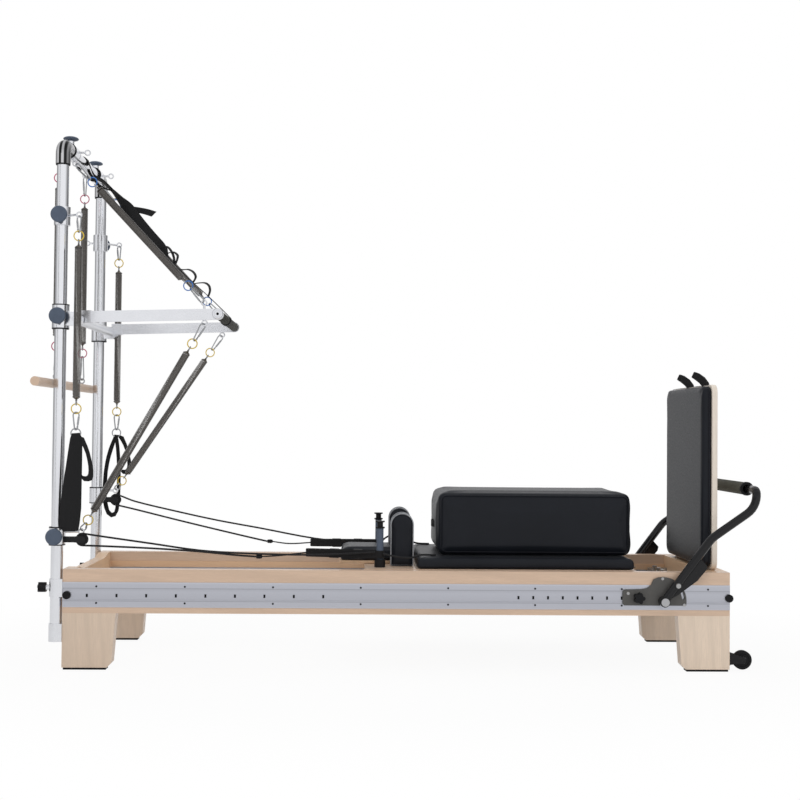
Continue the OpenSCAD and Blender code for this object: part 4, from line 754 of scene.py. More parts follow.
def board(bm, outline, depth, edge, finish=0, segments=3):
    """Pushes a flat outline through a depth and bevels its rims."""
    before = set(bm.faces)
    face = bm.faces.new([bm.verts.new(point) for point in outline])
    made = bmesh.ops.extrude_face_region(bm, geom=[face])["geom"]
    moved = [item for item in made if isinstance(item, bmesh.types.BMVert)]
    bmesh.ops.translate(bm, vec=depth, verts=moved)
    caps = [item for item in bm.faces if item not in before and len(item.verts) == len(outline)]
    soften(bm, list({item for cap in caps for item in cap.edges}), edge, segments)
    paint(bm, before, finish)


def round_rectangle(low, high, corner, steps=6):
    """Outline of a rectangle with round corners, as pairs of numbers."""
    made = []
    for k, (x, y) in enumerate(((1, 1), (-1, 1), (-1, -1), (1, -1))):
        cx = (high[0] - corner) if x > 0 else (low[0] + corner)
        cy = (high[1] - corner) if y > 0 else (low[1] + corner)
        for step in range(steps + 1):
            turn = math.radians(90 * k + 90 * step / steps)
            made.append((cx + corner * math.cos(turn), cy + corner * math.sin(turn)))
    return made


def coil(bm, start, end, radius, wire, finish=0):
    """Close-coiled spring: eight curls spun as one helix, then repeated along the line."""
    line = end - start
    axis = line.normalized()
    side = axis.orthogonal().normalized()
    blocks = max(1, round(line.length / (8 * sizes().coil_pitch)))
    pitch = line.length / (8 * blocks)
    before = set(bm.faces)
    middle = start + side * radius
    verts = [bm.verts.new(middle + side * u + axis * v) for u, v in disc(wire / 2, 6)]
    edges = [bm.edges.new((verts[i - 1], verts[i])) for i in range(6)]
    bmesh.ops.spin(
        bm,
        geom=verts + edges,
        cent=start,
        axis=axis,
        dvec=axis * (pitch / 14),
        angle=16 * math.pi,
        steps=112,
        use_duplicate=False,
    )
    block = [face for face in bm.faces if face not in before]
    pieces = block + list({edge for face in block for edge in face.edges})
    pieces += list({vert for face in block for vert in face.verts})
    for step in range(1, blocks):
        made = bmesh.ops.duplicate(bm, geom=pieces)["geom"]
        moved = [item for item in made if isinstance(item, bmesh.types.BMVert)]
        bmesh.ops.translate(bm, vec=axis * (8 * pitch * step), verts=moved)
    near = {vert for face in bm.faces if face not in before for vert in face.verts}
    bmesh.ops.remove_doubles(bm, verts=list(near), dist=1e-5)
    rims = [edge for vert in near if vert.is_valid for edge in vert.link_edges if edge.is_boundary]
    bmesh.ops.holes_fill(bm, edges=list(set(rims)), sides=6)
    paint(bm, before, finish)


def finished(bm, name, *finishes, angle=42, body=None, nodes=()):
    """Makes the shape a piece of the object, with its finishes and its body."""
    for key in ("index", "ring"):
        layer = bm.verts.layers.int.get(key)
        if layer:
            bm.verts.layers.int.remove(layer)
    mesh = bpy.data.meshes.new(name)
    bm.to_mesh(mesh)
    bm.free()
    for finish in finishes:
        mesh.materials.append(finish_for(finish))
    mesh.shade_smooth()
    mesh.set_sharp_from_angle(angle=math.radians(angle))
    made = bpy.data.objects.new(name, mesh)
    bpy.context.scene.collection.objects.link(made)
    if nodes:
        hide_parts(*nodes)
    if body:
        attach(made, body)
    return made


def settle(piece):
    """Applies a piece's modifiers at the current frame."""
    graph = bpy.context.evaluated_depsgraph_get()
    mesh = bpy.data.meshes.new_from_object(piece.evaluated_get(graph))
    piece.modifiers.clear()
    piece.data = mesh


def plump(piece, cap, voxel, held, pressure=4.0):
    """Blows a closed form up like a stuffed cover; what rests is held, and each point's move has a limit."""
    remesh = piece.modifiers.new("Remesh", "REMESH")
    remesh.mode = "VOXEL"
    remesh.voxel_size = voxel
    settle(piece)
    rest = [vert.co.copy() for vert in piece.data.vertices]
    group = piece.vertex_groups.new(name="held")
    group.add([i for i, place in enumerate(rest) if held(place)], 1.0, "REPLACE")
    cloth = piece.modifiers.new("Cloth", "CLOTH")
    cloth.settings.use_pressure = True
    cloth.settings.uniform_pressure_force = pressure
    cloth.settings.vertex_group_mass = "held"
    cloth.settings.quality = 4
    cloth.settings.effector_weights.gravity = 0
    cloth.collision_settings.use_collision = False
    scene = bpy.context.scene
    last = sizes().cloth_frames
    cloth.point_cache.frame_start = 1
    cloth.point_cache.frame_end = last
    for number in range(1, last + 1):
        scene.frame_set(number)
    settle(piece)
    scene.frame_set(1)
    piece.vertex_groups.clear()
    for vert, place in zip(piece.data.vertices, rest):
        move = vert.co - place
        if move.length > cap:
            vert.co = place + move * (cap / move.length)
    bm = bmesh.new()
    bm.from_mesh(piece.data)
    for _ in range(2):
        bmesh.ops.smooth_vert(
            bm, verts=list(bm.verts), factor=0.5, use_axis_x=True, use_axis_y=True, use_axis_z=True
        )
    bm.to_mesh(piece.data)
    bm.free()
    piece.data.shade_smooth()
    smooth = piece.modifiers.new("Subdivision", "SUBSURF")
    smooth.levels = 1
    smooth.render_levels = 1
    settle(piece)
    piece.data.shade_smooth()


# Hooks, rings and springs

# Radius of a ring and of a spring's end loop, and the distance between their middles, in metres
RING = 0.017
HOOK = 0.007
LEAD = 0.0196
# How far a snap hook's ends stay from the middle of the eye and of the ring that it joins
EYE_GRIP = 0.0038
RING_GRIP = 0.01235
# Station and distance across of the hand springs' line, in millimetres
HAND_LINE = (43, -354)


def chain_frame(start, end):
    """Direction of a chain, the level direction across it, and the one square to both."""
    along = (end - start).normalized()
    flat = Vector((along.x, along.y, 0))
    level = Vector((-flat.y, flat.x, 0)).normalized() if flat.length > 1e-4 else Vector((0, 1, 0))
    return along, level, level.cross(along)


def snap_hook(bm, start, along, side, low, high, finish):
    """Pear-shaped snap hook with a sleeved gate, between two distances along the chain."""
    wide, narrow = 0.0112, 0.0054
    rim = arc_points((0, low + wide), wide, range(0, -181, -15))
    rim += arc_points((0, high - narrow), narrow, range(-180, -361, -15))
    path = [start + side * across + along * reach for across, reach in rim]
    frames = frames_along(path, along.cross(side).normalized(), closed=True)
    sweep(bm, frames, disc(0.0025, 8), finish, closed=True)
    foot = start + side * wide + along * (low + wide)
    head = start + side * narrow + along * (high - narrow)
    bar(bm, foot.lerp(head, 0.1), foot.lerp(head, 0.72), 0.0034, finish)
    hoop(bm, foot.lerp(head, 0.9), head - foot, 0.0022, 0.003, finish, 14)


def ring_end(bm, start, along, level, upright, gap, steel, paint_index):
    """Snap hook on an eyebolt and the coloured ring that it holds."""
    turn = math.radians(48)
    side = (level * math.cos(turn) + upright * math.sin(turn)).normalized()
    snap_hook(bm, start, along, side, EYE_GRIP, gap - RING_GRIP, steel)
    hoop(bm, start + along * gap, level, RING, sizes().ring_wire, paint_index)


def wound_spring(bm, start, end, level, spring, steel):
    """Spring between the middles of its two end loops, with necks and tapered cups."""
    along = (end - start).normalized()
    width = sizes().spring_width / 2
    wire = sizes().spring_wire
    for place, way in ((start, along), (end, -along)):
        hoop(bm, place, along.cross(level), HOOK, 0.004, steel, 20)
        profile = [(0.0022, 0), (0.0036, 0.002), (0.0036, 0.006), (width - 0.004, 0.010), (width, 0.0135)]
        profile += [(width, 0.0165), (width - 0.003, 0.0175), (0, 0.0175)]
        turned(bm, [(0, 0)] + profile, place + way * HOOK, way, spring, 20)
    coil(bm, start + along * (HOOK + 0.018), end - along * (HOOK + 0.018), width - wire / 2, wire, spring)


def chain(bm, start, end, first, last, colour):
    """Whole spring line: hook, ring, spring, ring and hook."""
    along, level, upright = chain_frame(start, end)
    length = (end - start).length
    ring_end(bm, start, along, level, upright, first, 1, colour)
    if last:
        ring_end(bm, end, -along, level, upright, last, 1, colour)
    far = length - last - LEAD
    wound_spring(bm, start + along * (first + LEAD), start + along * far, level, 0, 1)


class REFORMER_OT_push_springs(bpy.types.Operator):
    """Four springs between the tower and the push-through bar"""

    bl_idname = "reformer.push_springs"
    bl_label = "Push bar springs"

    def execute(self, context):
        for side, sign in SIDES:
            low = 480.5 if side == "near" else 596.5
            lines = (
                ("upper", (-8, -206, 1808), (474.1, -276, 1298.6), 0.095, 0.086, "blue"),
                ("lower", (54, -294, low), (476.4, -276, 1226.6), 0.047, 0.086, "yellow"),
            )
            for level, start, end, first, last, colour in lines:
                bm = bmesh.new()
                start, end = on_side(sign, *start), on_side(sign, *end)
                chain(bm, start, end, first, last, 2)
                name = f"push_spring_{level}_{side}"
                made = finished(bm, name, "spring", "chrome", colour, nodes=("push_springs",))
                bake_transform(made)
        return {"FINISHED"}


class REFORMER_OT_roll_springs(bpy.types.Operator):
    """Two springs that carry the roll-down bar"""

    bl_idname = "reformer.roll_springs"
    bl_label = "Roll-down springs"

    def execute(self, context):
        for side, sign in SIDES:
            bm = bmesh.new()
            start, end = on_side(sign, -66, -206, 1848), on_side(sign, -66, -206, 1032)
            chain(bm, start, end, 0.093, 0.110, 2)
            name = f"roll_spring_{side}"
            made = finished(bm, name, "spring", "chrome", "red", nodes=("roll_down_springs",))
            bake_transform(made)
        return {"FINISHED"}


class REFORMER_OT_hand_springs(bpy.types.Operator):
    """The springs that the hand straps hang on"""

    bl_idname = "reformer.hand_springs"
    bl_label = "Hand springs"

    def execute(self, context):
        for side, sign in SIDES:
            bm = bmesh.new()
            start, end = on_side(sign, *HAND_LINE, 1595.5), on_side(sign, *HAND_LINE, 914)
            chain(bm, start, end, 0.074, 0, 2)
            name = f"hand_spring_{side}"
            made = finished(bm, name, "spring", "chrome", "yellow", nodes=(f"hand_springs_{side}",))
            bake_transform(made)
        return {"FINISHED"}


class REFORMER_OT_carriage_springs(bpy.types.Operator):
    """The springs under the carriage"""

    bl_idname = "reformer.carriage_springs"
    bl_label = "Carriage springs"

    def execute(self, context):
        low, high = (Vector(corner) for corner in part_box("carriage_springs"))
        z = (low.z + high.z) / 2
        for number in range(5):
            y = (number - 2) * 0.062
            start, end = Vector((high.x, y, z)), Vector((low.x, y, z))
            along = (end - start).normalized()
            bm = bmesh.new()
            bar(bm, start, start + along * 0.022, 0.003, 1)
            bar(bm, end, end - along * 0.022, 0.003, 1)
            for place, way in ((start, along), (end, -along)):
                cup = [(0, 0), (0.003, 0), (0.011, 0.005), (0.012, 0.008), (0.009, 0.009), (0, 0.009)]
                turned(bm, cup, place + way * 0.018, way, 1, 20)
            wire = sizes().spring_wire
            coil(bm, start + along * 0.026, end - along * 0.026, 0.012 - wire / 2, wire)
            name = f"carriage_spring_{number + 1}"
            made = finished(bm, name, "spring", "steel", nodes=("carriage_springs",))
            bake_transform(made)
        return {"FINISHED"}


# Ropes

# Rope runs from the pulleys to the carriage, as stations, distances across and heights, in millimetres
POST_RUNS = {
    "near": [
        (65, -322, 476), (78, -322, 474), (130, -318, 466), (300, -304, 441), (470, -288, 416),
        (640, -268, 404), (860, -246, 398), (1000, -233, 402), (1094, -240.7, 408),
    ],
    "far": [
        (59.2, -322, 577.7), (72, -322, 573), (130, -316, 552), (300, -300, 514), (470, -282, 480),
        (640, -262, 452), (860, -242, 414), (1000, -233, 404), (1094, -240.7, 404),
    ],
}
LOOP_RUNS = {
    "near": [
        (65, -322, 434), (130, -320, 432), (300, -306, 424), (470, -290, 412), (600, -272, 398),
        (668, -258, 392),
    ],
    "far": [
        (52, -322, 537), (64, -322, 534.4), (130, -316, 520), (300, -302, 480), (470, -284, 442),
        (600, -268, 414), (668, -258, 400),
    ],
}
TAILS = {
    "near": [(1124, -236, 402), (1180, -246, 392), (1228, -246, 390), (1256, -238, 399), (1316, -216, 397)],
    "far": [
        (1124, -236, 404), (1150, -232, 424), (1180, -228, 430), (1215, -228, 420), (1262, -230, 400),
        (1316, -226, 397),
    ],
}
# Station and height of each pulley's axle, and the radius at which a rope lies on it
PULLEYS = {"near": (65, 455), "far": (52, 558)}
PULLEY_RADIUS = 21
# Angle at which the rope leaves each pulley for the post
POST_LEAVE = {"near": 90, "far": 70}


def rope(name, path, width, node):
    """Braided cord along a path."""
    bm = bmesh.new()
    sweep(bm, frames_along(path), disc(width / 2, 10))
    made = finished(bm, name, "braid", nodes=(node,))
    return made


class REFORMER_OT_ropes(bpy.types.Operator):
    """Pulley ropes, their thin twin cords and the loose tails"""

    bl_idname = "reformer.ropes"
    bl_label = "Ropes"

    def execute(self, context):
        width = sizes().rope_width
        for side, sign in SIDES:
            s, z = PULLEYS[side]
            post, loop = POST_RUNS[side], LOOP_RUNS[side]
            for kind, run, turns in (
                ("post", post, range(180, POST_LEAVE[side], -15)),
                ("loop", loop, range(180, 270, 15)),
            ):
                arc = arc_points((s, z), PULLEY_RADIUS, turns)
                path = [on_side(sign, x, -322, height) for x, height in arc]
                path += along_curve([on_side(sign, *point) for point in run], 4)
                made = rope(f"{kind}_rope_{side}", path, width, "pulley_ropes")
                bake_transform(made)
            knot = LOOP_RUNS[side][-1]
            for number, y in enumerate((-9, 9)):
                run = [(knot[0] + 16, knot[1] + y * 0.3, knot[2])]
                run += [(758, y * 0.8 - 230, 394), (849, y * 0.7 - 195.5, 402)]
                path = along_curve([on_side(sign, *point) for point in run], 8)
                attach(rope(f"twin_cord_{side}_{number + 1}", path, 0.004, "rope_loops"), "carriage")
            path = along_curve([on_side(sign, *point) for point in TAILS[side]], 6)
            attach(rope(f"rope_tail_{side}", path, width, "rope_loops"), "carriage")
        return {"FINISHED"}


class REFORMER_OT_rope_loops(bpy.types.Operator):
    """Knots and the long webbing loops round the rope posts"""

    bl_idname = "reformer.rope_loops"
    bl_label = "Rope loops"

    def execute(self, context):
        thickness = sizes().webbing_thickness
        for side, sign in SIDES:
            bm = bmesh.new()
            knot = on_side(sign, *LOOP_RUNS[side][-1])
            ahead = Vector((1, 0, 0))
            profile = [(0, 0.001), (0.0052, 0.001), (0.0075, 0.004), (0.0070, 0.008), (0.0078, 0.012)]
            profile += [(0.0072, 0.017), (0.0054, 0.0225), (0, 0.023)]
            turned(bm, profile, knot, ahead, 1, 20)
            centre, end = on_side(sign, 1113, -222, 399), on_side(sign, 846, -195, 402)
            run = end - centre
            reach = run.length
            run.normalize()
            side_way = Vector((0, 0, 1)).cross(run)
            radius, tip = 0.0143, 0.009
            shares = (0.25, 0.5, 0.75, 0.93)
            flank = [(reach * share, radius + (tip - radius) * share) for share in shares]
            places = arc_points((0, 0), radius, range(270, 89, -15)) + flank
            places += [(reach - 0.002, 0.006), (reach + 0.001, 0), (reach - 0.002, -0.006)]
            places += [(x, -y) for x, y in reversed(flank)]
            path = [centre + run * x + side_way * y for x, y in places]
            frames = frames_along(path, Vector((0, 0, 1)), closed=True)
            sweep(bm, frames, band(0.029, thickness), 0, closed=True)
            for share in (0.30, 0.62):
                middle = centre + run * (reach * share)
                reaches = (-0.016, -0.013, 0.013, 0.016)
                frames = [(middle + run * x, side_way, Vector((0, 0, 1))) for x in reaches]
                half = radius + (tip - radius) * share + 0.0028
                section = round_rectangle((-half, -0.0162), (half, 0.0162), 0.004, 3)
                sweep(bm, frames, section, 0)
            finished(bm, f"rope_loop_{side}", "webbing", "black", body="carriage", nodes=("rope_loops",))
        return {"FINISHED"}


# Straps

# Distance from the coloured ring's middle down to the steel ring's, in metres
STEEL_RING_DROP = 0.086
# Loops: edges as stations and heights from this place, and how far outwards they lie, in millimetres
LOOP_STATION, LOOP_ACROSS, LOOP_HEIGHT = 43, -351, 811
THIN_LOOP = (
    ((-8, 10), (4, 8), 3.0), ((-15, -8), (-2, -12), 3.0), ((-24, -30), (-9, -36), 3.0),
    ((-31, -50), (-15, -56), 2.6), ((-39, -80), (-23, -84), 2.2), ((-44, -106), (-28, -108), 2.2),
    ((-49, -142), (-33, -142), 2.0), ((-51, -176), (-35, -176), 1.8), ((-53, -210), (-37, -208), 1.6),
    ((-52, -236), (-36, -234), 1.4), ((-50, -262), (-34, -256), 1.2), ((-45, -288), (-30, -276), 1.0),
    ((-34, -314), (-24, -298), 0.4), ((-16, -327), (-12, -308), 0.0), ((2, -322), (-3, -304), -0.4),
    ((14, -300), (1, -288), -0.8), ((18, -270), (3, -264), -1.2), ((20, -236), (5, -234), -1.6),
    ((21, -206), (6, -204), -1.8), ((21, -176), (6, -176), -2.0), ((21, -140), (6, -140), -2.2),
    ((20, -106), (5, -108), -2.4), ((17, -70), (3, -76), -2.6), ((14, -36), (0, -42), -3.0),
    ((10, -10), (-4, -14), -3.0), ((6, 9), (-6, 10), -3.0),
)
SMALL_LOOP = (
    ((6, 9), (0, 6), 4.6), ((14, 8), (6, 2), 4.6), ((29, 2), (18, -16), 4.4), ((42, -27), (28, -34), 4.0),
    ((50, -50), (36, -54), 3.4), ((56, -74), (41, -74), 2.8), ((61, -96), (45, -96), 2.2),
    ((63, -113), (46, -113), 1.6), ((63, -135), (45, -124), 0.8), ((58, -147), (41, -131), 0.0),
    ((45, -151), (35, -133), -0.8), ((30, -150), (26, -132), -1.6), ((20, -140), (19, -124), -3.0),
    ((13, -112), (13, -98), -5.2), ((10, -80), (8, -66), -6.2), ((8, -48), (4, -34), -6.2),
    ((7, -16), (1, -4), -6.2), ((6, 8), (-2, 10), -6.2),
)
# Left and right edges of the near strap's wide band, as stations and heights
WIDE_BAND = (
    ((30, 828), (56, 830)), ((24, 810), (65, 812)), ((17.6, 763), (66, 770)), ((12, 720), (66, 724)),
    ((6.5, 679), (65.7, 684)), ((-0.9, 624), (65.4, 624)), ((-6.0, 568), (65.1, 566)),
    ((-7.4, 520), (61.5, 524)), ((-6.0, 502), (59.5, 508)), ((0.5, 492), (57.5, 496)),
)


def wide_band(bm, sign):
    """Wide webbing folded in half at its foot: a front layer, a round turn and a back layer."""
    frames = []
    count = len(WIDE_BAND)
    for i, (left, right) in enumerate(WIDE_BAND):
        gap = 2.2 + 3.6 * math.sin(math.pi * 0.5 * i / (count - 1))
        frames.append((left, right, gap))
    foot = [((3.5, 487.5), (57, 491), 4.6), ((4, 485.6), (56.5, 488.6), 0.0), ((3.5, 487.5), (57, 491), -4.6)]
    places = frames + foot + [(left, right, -gap) for left, right, gap in reversed(frames)]
    path = []
    for (ls, lz), (rs, rz), gap in places:
        y = HAND_LINE[1] - gap
        path.append((on_side(sign, ls, y, lz), on_side(sign, rs, y, rz)))
    made = []
    for i, (a, b) in enumerate(path):
        before = sum(path[max(i - 1, 0)], Vector()) / 2
        after = sum(path[min(i + 1, len(path) - 1)], Vector()) / 2
        made.append(((a + b) / 2, b - a, (after - before).cross(b - a).normalized()))
    sweep(bm, made, ribbon(sizes().webbing_thickness * 0.4, 0.47))
    for z, left, right in ((806, 24.5, 63.5), (784, 21.5, 64.5)):
        for way in (-1, 1):
            spot = on_side(sign, (left + right) / 2, HAND_LINE[1] - way * 3.9, z)
            half = Vector(((right - left) / 2000, 0.0004, 0.0008))
            slab(bm, spot - half, spot + half, 0.0003, 0, 1)


class REFORMER_OT_hand_straps(bpy.types.Operator):
    """Hand straps: coloured ring, snap hook, steel ring and two loops of webbing"""

    bl_idname = "reformer.hand_straps"
    bl_label = "Hand straps"

    def execute(self, context):
        down = Vector((0, 0, -1))
        for side, sign in SIDES:
            bm = bmesh.new()
            start = on_side(sign, *HAND_LINE, 914)
            turn = math.radians(50)
            way = Vector((math.sin(turn), math.cos(turn), 0))
            hoop(bm, start, Vector((0, 1, 0)), RING, sizes().ring_wire, 2)
            snap_hook(bm, start, down, way, RING_GRIP, STEEL_RING_DROP - RING_GRIP, 1)
            hoop(bm, start + down * STEEL_RING_DROP, Vector((0, 1, 0)), RING, 0.0045, 1)
            if side == "near":
                wide_band(bm, sign)
                loops = ((SMALL_LOOP, 0.001),)
            else:
                loops = ((THIN_LOOP, 0.003), (SMALL_LOOP, 0.001))
            for pairs, lean in loops:
                frames = []
                for outer, inner, depth in pairs:
                    y = LOOP_ACROSS - depth
                    a = on_side(sign, LOOP_STATION + outer[0], y, LOOP_HEIGHT + outer[1])
                    b = on_side(sign, LOOP_STATION + inner[0], y, LOOP_HEIGHT + inner[1])
                    b += Vector((0, lean * sign * (1 if depth > 0 else -1), 0))
                    width = b - a
                    out = width.cross(Vector((0, 1, 0))).cross(width).normalized()
                    frames.append(((a + b) / 2, width, out))
                sweep(bm, frames, ribbon(sizes().webbing_thickness * 0.8 / 2))
            finished(
                bm, f"hand_strap_{side}", "webbing", "chrome", "yellow",
                body=f"hand_strap_{side}", nodes=(f"hand_strap_{side}",),
            )
        return {"FINISHED"}


class REFORMER_OT_safety_strap(bpy.types.Operator):
    """Long strap from the crossbar to the push bar, with its sewn hand loops"""

    bl_idname = "reformer.safety_strap"
    bl_label = "Safety strap"

    def execute(self, context):
        thickness = sizes().webbing_thickness
        across = Vector((0, 1, 0))
        flat = Vector((0.69, 0, 0.72)).normalized()
        top = arc_points((-25, 1848), 23.4, range(250, 25, -15))
        foot = arc_points((524.4, 1258.6), 18.9, range(50, -231, -15))
        strand = [(21, 1802, 12), (54, 1781, 16), (90, 1746, 18), (122, 1710, 45)]
        middle = [(150, 1678, 84), (191, 1625, 90), (231, 1578, 90), (265, 1541, 88), (287, 1516, 60)]
        lower = [(302, 1492, 15), (340, 1456, 0), (392, 1407, 0), (450, 1356, 0), (500, 1309, 0)]
        places = [(s, z, 0) for s, z in top] + strand + middle + lower + [(s, z, 0) for s, z in foot]
        path = along_curve([at(s, -20, z) for s, z, _ in places], 4)
        marks = [Vector((math.radians(turn), i * 0.1, 0)) for i, (_, _, turn) in enumerate(places)]
        turns = along_curve(marks, 4)
        frames = []
        for i, (place, side, out) in enumerate(frames_along(path, across)):
            turn = turns[i].x
            wide = (side * math.cos(turn) - out * math.sin(turn)) * (1 + 0.22 * math.sin(turn) ** 4)
            frames.append((place, wide, out * math.cos(turn) + side * math.sin(turn)))
        bm = bmesh.new()
        sweep(bm, frames, band(0.038, thickness))
        second = [(-2, 1826), (5.8, 1807.4), (34, 1772), (56, 1738), (88, 1696), (122, 1668), (150, 1640)]
        path = along_curve([at(s, -27, z) for s, z in second], 4)
        leaning = Vector((0.24, 0.94, 0.24)).normalized()
        sweep(bm, frames_along(path, leaning), band(0.022, thickness * 0.9))
        for rung in ([(38, 1768), (62, 1754), (88, 1746)], [(60, 1735), (66, 1716), (112, 1716)]):
            path = along_curve([at(s, -24, z) for s, z in rung], 5)
            sweep(bm, frames_along(path, leaning), band(0.018, thickness * 0.9))
        tail = [(132, 1682), (161.5, 1679), (211.6, 1671), (246, 1661)]
        path = along_curve([at(s, -14, z) for s, z in tail], 5)
        sweep(bm, frames_along(path, flat), band(0.027, thickness * 0.9))
        loops = (
            [(268, 1528), (284, 1537), (299, 1536), (313.7, 1520.6), (323.7, 1497.4), (326, 1474)],
            [(289.4, 1502.5), (304, 1513), (321.4, 1516.8), (337.3, 1506), (338, 1494), (330, 1470)],
            [(345, 1452), (357, 1450), (380.2, 1451), (399.6, 1440.2), (407.5, 1422.9), (398, 1402)],
            [(404, 1398), (415.6, 1400), (442.5, 1401), (458, 1390.5), (462.1, 1371.2), (456, 1350)],
        )
        for loop in loops:
            path = along_curve([at(s, -20, z) for s, z in loop], 5)
            sweep(bm, frames_along(path, leaning), band(0.020, thickness))
        made = finished(bm, "safety_strap_webbing", "webbing", nodes=("safety_strap",))
        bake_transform(made)
        return {"FINISHED"}


# Upholstery


def cover(bm, name, *finishes, cap, voxel, held, body, nodes, pressure=4.0):
    """A stuffed piece: its closed form is blown up."""
    made = finished(bm, name, *finishes)
    plump(made, cap, voxel, held, pressure)
    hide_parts(*nodes)
    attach(made, body)
    return made


def rim_line(bm, outline, radius, finish=0):
    """Piping or a sewn edge along a closed line of points."""
    sweep(bm, frames_along(outline, closed=True), disc(radius, 8), finish, closed=True)


# Radius of the sewn edge round a pad
PAD_SEAM = 0.0011


def flat_pad(names, low, high, edge, corner, rise, body, nodes, cap, voxel, rest):
    """Stuffed pad between two corners, held up to a height above its foot, and its sewn edge."""
    bm = bmesh.new()
    slab(bm, low, high, edge, segments=4)
    cover(
        bm, names[0], "leather", cap=cap, voxel=voxel, body=body, nodes=nodes,
        held=lambda place: place.z < low.z + rest,
    )
    bm = bmesh.new()
    flat = round_rectangle((low.x - 0.001, low.y - 0.001), (high.x + 0.001, high.y + 0.001), corner)
    rim_line(bm, [Vector((x, y, low.z + rise)) for x, y in flat], PAD_SEAM)
    finished(bm, names[1], "leather", body=body, nodes=nodes)


class REFORMER_OT_carriage_pad(bpy.types.Operator):
    """Upholstered pad of the carriage, flat where it rests on the deck"""

    bl_idname = "reformer.carriage_pad"
    bl_label = "Carriage pad"

    def execute(self, context):
        low, high = at(1246, -282, 353.4), at(2032, 282, 390.6)
        flat_pad(
            ("carriage_pad_cover", "carriage_pad_seam"), low, high, edge=0.011, corner=0.014, rise=0.010,
            body="carriage", nodes=("carriage_pad",), cap=0.0034, voxel=0.0055, rest=0.004,
        )
        return {"FINISHED"}


class REFORMER_OT_headrest(bpy.types.Operator):
    """Headrest: maple board and a crowned cushion"""

    bl_idname = "reformer.headrest"
    bl_label = "Headrest"

    def execute(self, context):
        bm = bmesh.new()
        slab(bm, at(965.5, -112, 353.3), at(1218.5, 112, 365.2), 0.0025)
        finished(bm, "headrest_board", "end_maple", body="headrest", nodes=("headrest",))
        low, high = at(967, -116, 365.4), at(1217, 116, 409)
        flat_pad(
            ("headrest_cushion", "headrest_seam"), low, high, edge=0.013, corner=0.016, rise=0.011,
            body="headrest", nodes=("headrest",), cap=0.006, voxel=0.0045, rest=0.003,
        )
        return {"FINISHED"}


# Station of the shoulder rests' middle and height of their foot, in millimetres
REST_STATION, REST_HEIGHT = 1194, 353.6


class REFORMER_OT_shoulder_rests(bpy.types.Operator):
    """Arched shoulder rests with grey piping on both faces, and their pins"""

    bl_idname = "reformer.shoulder_rests"
    bl_label = "Shoulder rests"

    def arch(self, radius, foot, top, steps=16):
        """Arched outline from its foot, as stations and heights."""
        places = [(-radius, foot), (radius, foot)]
        for step in range(steps + 1):
            turn = math.pi * step / steps
            places.append((radius * math.cos(turn), top - radius + radius * math.sin(turn)))
        return places

    def execute(self, context):
        for side, sign in SIDES:
            nodes = (f"shoulder_rest_{side}",)
            body = f"shoulder_rest_{side}"
            near, far = (-196, -128)
            arch = self.arch(40.5, 0, 191)
            outline = [on_side(sign, REST_STATION + s, near, REST_HEIGHT + z) for s, z in arch]
            depth = on_side(sign, 0, far, 0) - on_side(sign, 0, near, 0)
            bm = bmesh.new()
            board(bm, outline, depth, 0.008)
            cover(
                bm, f"shoulder_rest_cushion_{side}", "leather", cap=0.0026, voxel=0.0038, body=body,
                nodes=nodes, held=lambda place: place.z < 0.357,
            )
            bm = bmesh.new()
            for y in (-193.5, -130.5):
                arch = self.arch(40.6, 4, 191.4)
                line = [on_side(sign, REST_STATION + s, y, REST_HEIGHT + z) for s, z in arch]
                rim_line(bm, line, sizes().piping_width / 2)
            finished(bm, f"shoulder_rest_piping_{side}", "piping", body=body, nodes=nodes)
            bm = bmesh.new()
            foot, head = (on_side(sign, REST_STATION, -162, z) for z in (293.4, 354.5))
            bar(bm, foot, head, 0.007)
            finished(bm, f"shoulder_rest_pin_{side}", "steel", body=body, nodes=nodes)
        return {"FINISHED"}


class REFORMER_OT_sitting_box(bpy.types.Operator):
    """Long upholstered box with sewn edges and a webbing handle at each end"""

    bl_idname = "reformer.sitting_box"
    bl_label = "Sitting box"

    def execute(self, context):
        low, high = at(1323, -197, 394.4), at(2037, 197, 626)
        bm = bmesh.new()
        slab(bm, low, high, 0.026, segments=5)
        cover(
            bm, "sitting_box_cover", "leather", cap=0.0040, voxel=0.0062, body="sitting_box",
            nodes=("sitting_box",), held=lambda place: place.z < low.z + 0.004,
        )
        bm = bmesh.new()
        for y in (low.y - 0.0008, high.y + 0.0008):
            face = round_rectangle((low.x + 0.013, low.z + 0.013), (high.x - 0.013, high.z - 0.013), 0.022)
            inset = 0.004 if y < 0 else -0.004
            rim_line(bm, [Vector((x, y + inset, z)) for x, z in face], sizes().seam_width / 2)
        finished(bm, "sitting_box_seams", "leather", body="sitting_box", nodes=("sitting_box",))
        bm = bmesh.new()
        for station, way in ((1321, -1), (2039, 1)):
            places = []
            half = ((-50, 2.5), (-44, 2.6), (-34, 4), (-20, 9))
            for y, out in half + ((0, 10.5),) + tuple((-y, out) for y, out in reversed(half)):
                places.append(at(station + way * (out - 1), y, 498))
            frames = frames_along(along_curve(places, 3), Vector((0, 0, 1)))
            sweep(bm, frames, band(0.026, sizes().webbing_thickness))
            for y in (-45, 45):
                inner = at(station + way * 0.5, y - 8, 485.5)
                outer = at(station + way * 4.6, y + 8, 510.5)
                lows = [min(a, b) for a, b in zip(inner, outer)]
                highs = [max(a, b) for a, b in zip(inner, outer)]
                slab(bm, lows, highs, 0.0012, 1, 2)
        finished(bm, "sitting_box_handles", "webbing", "black", body="sitting_box", nodes=("sitting_box",))
        return {"FINISHED"}


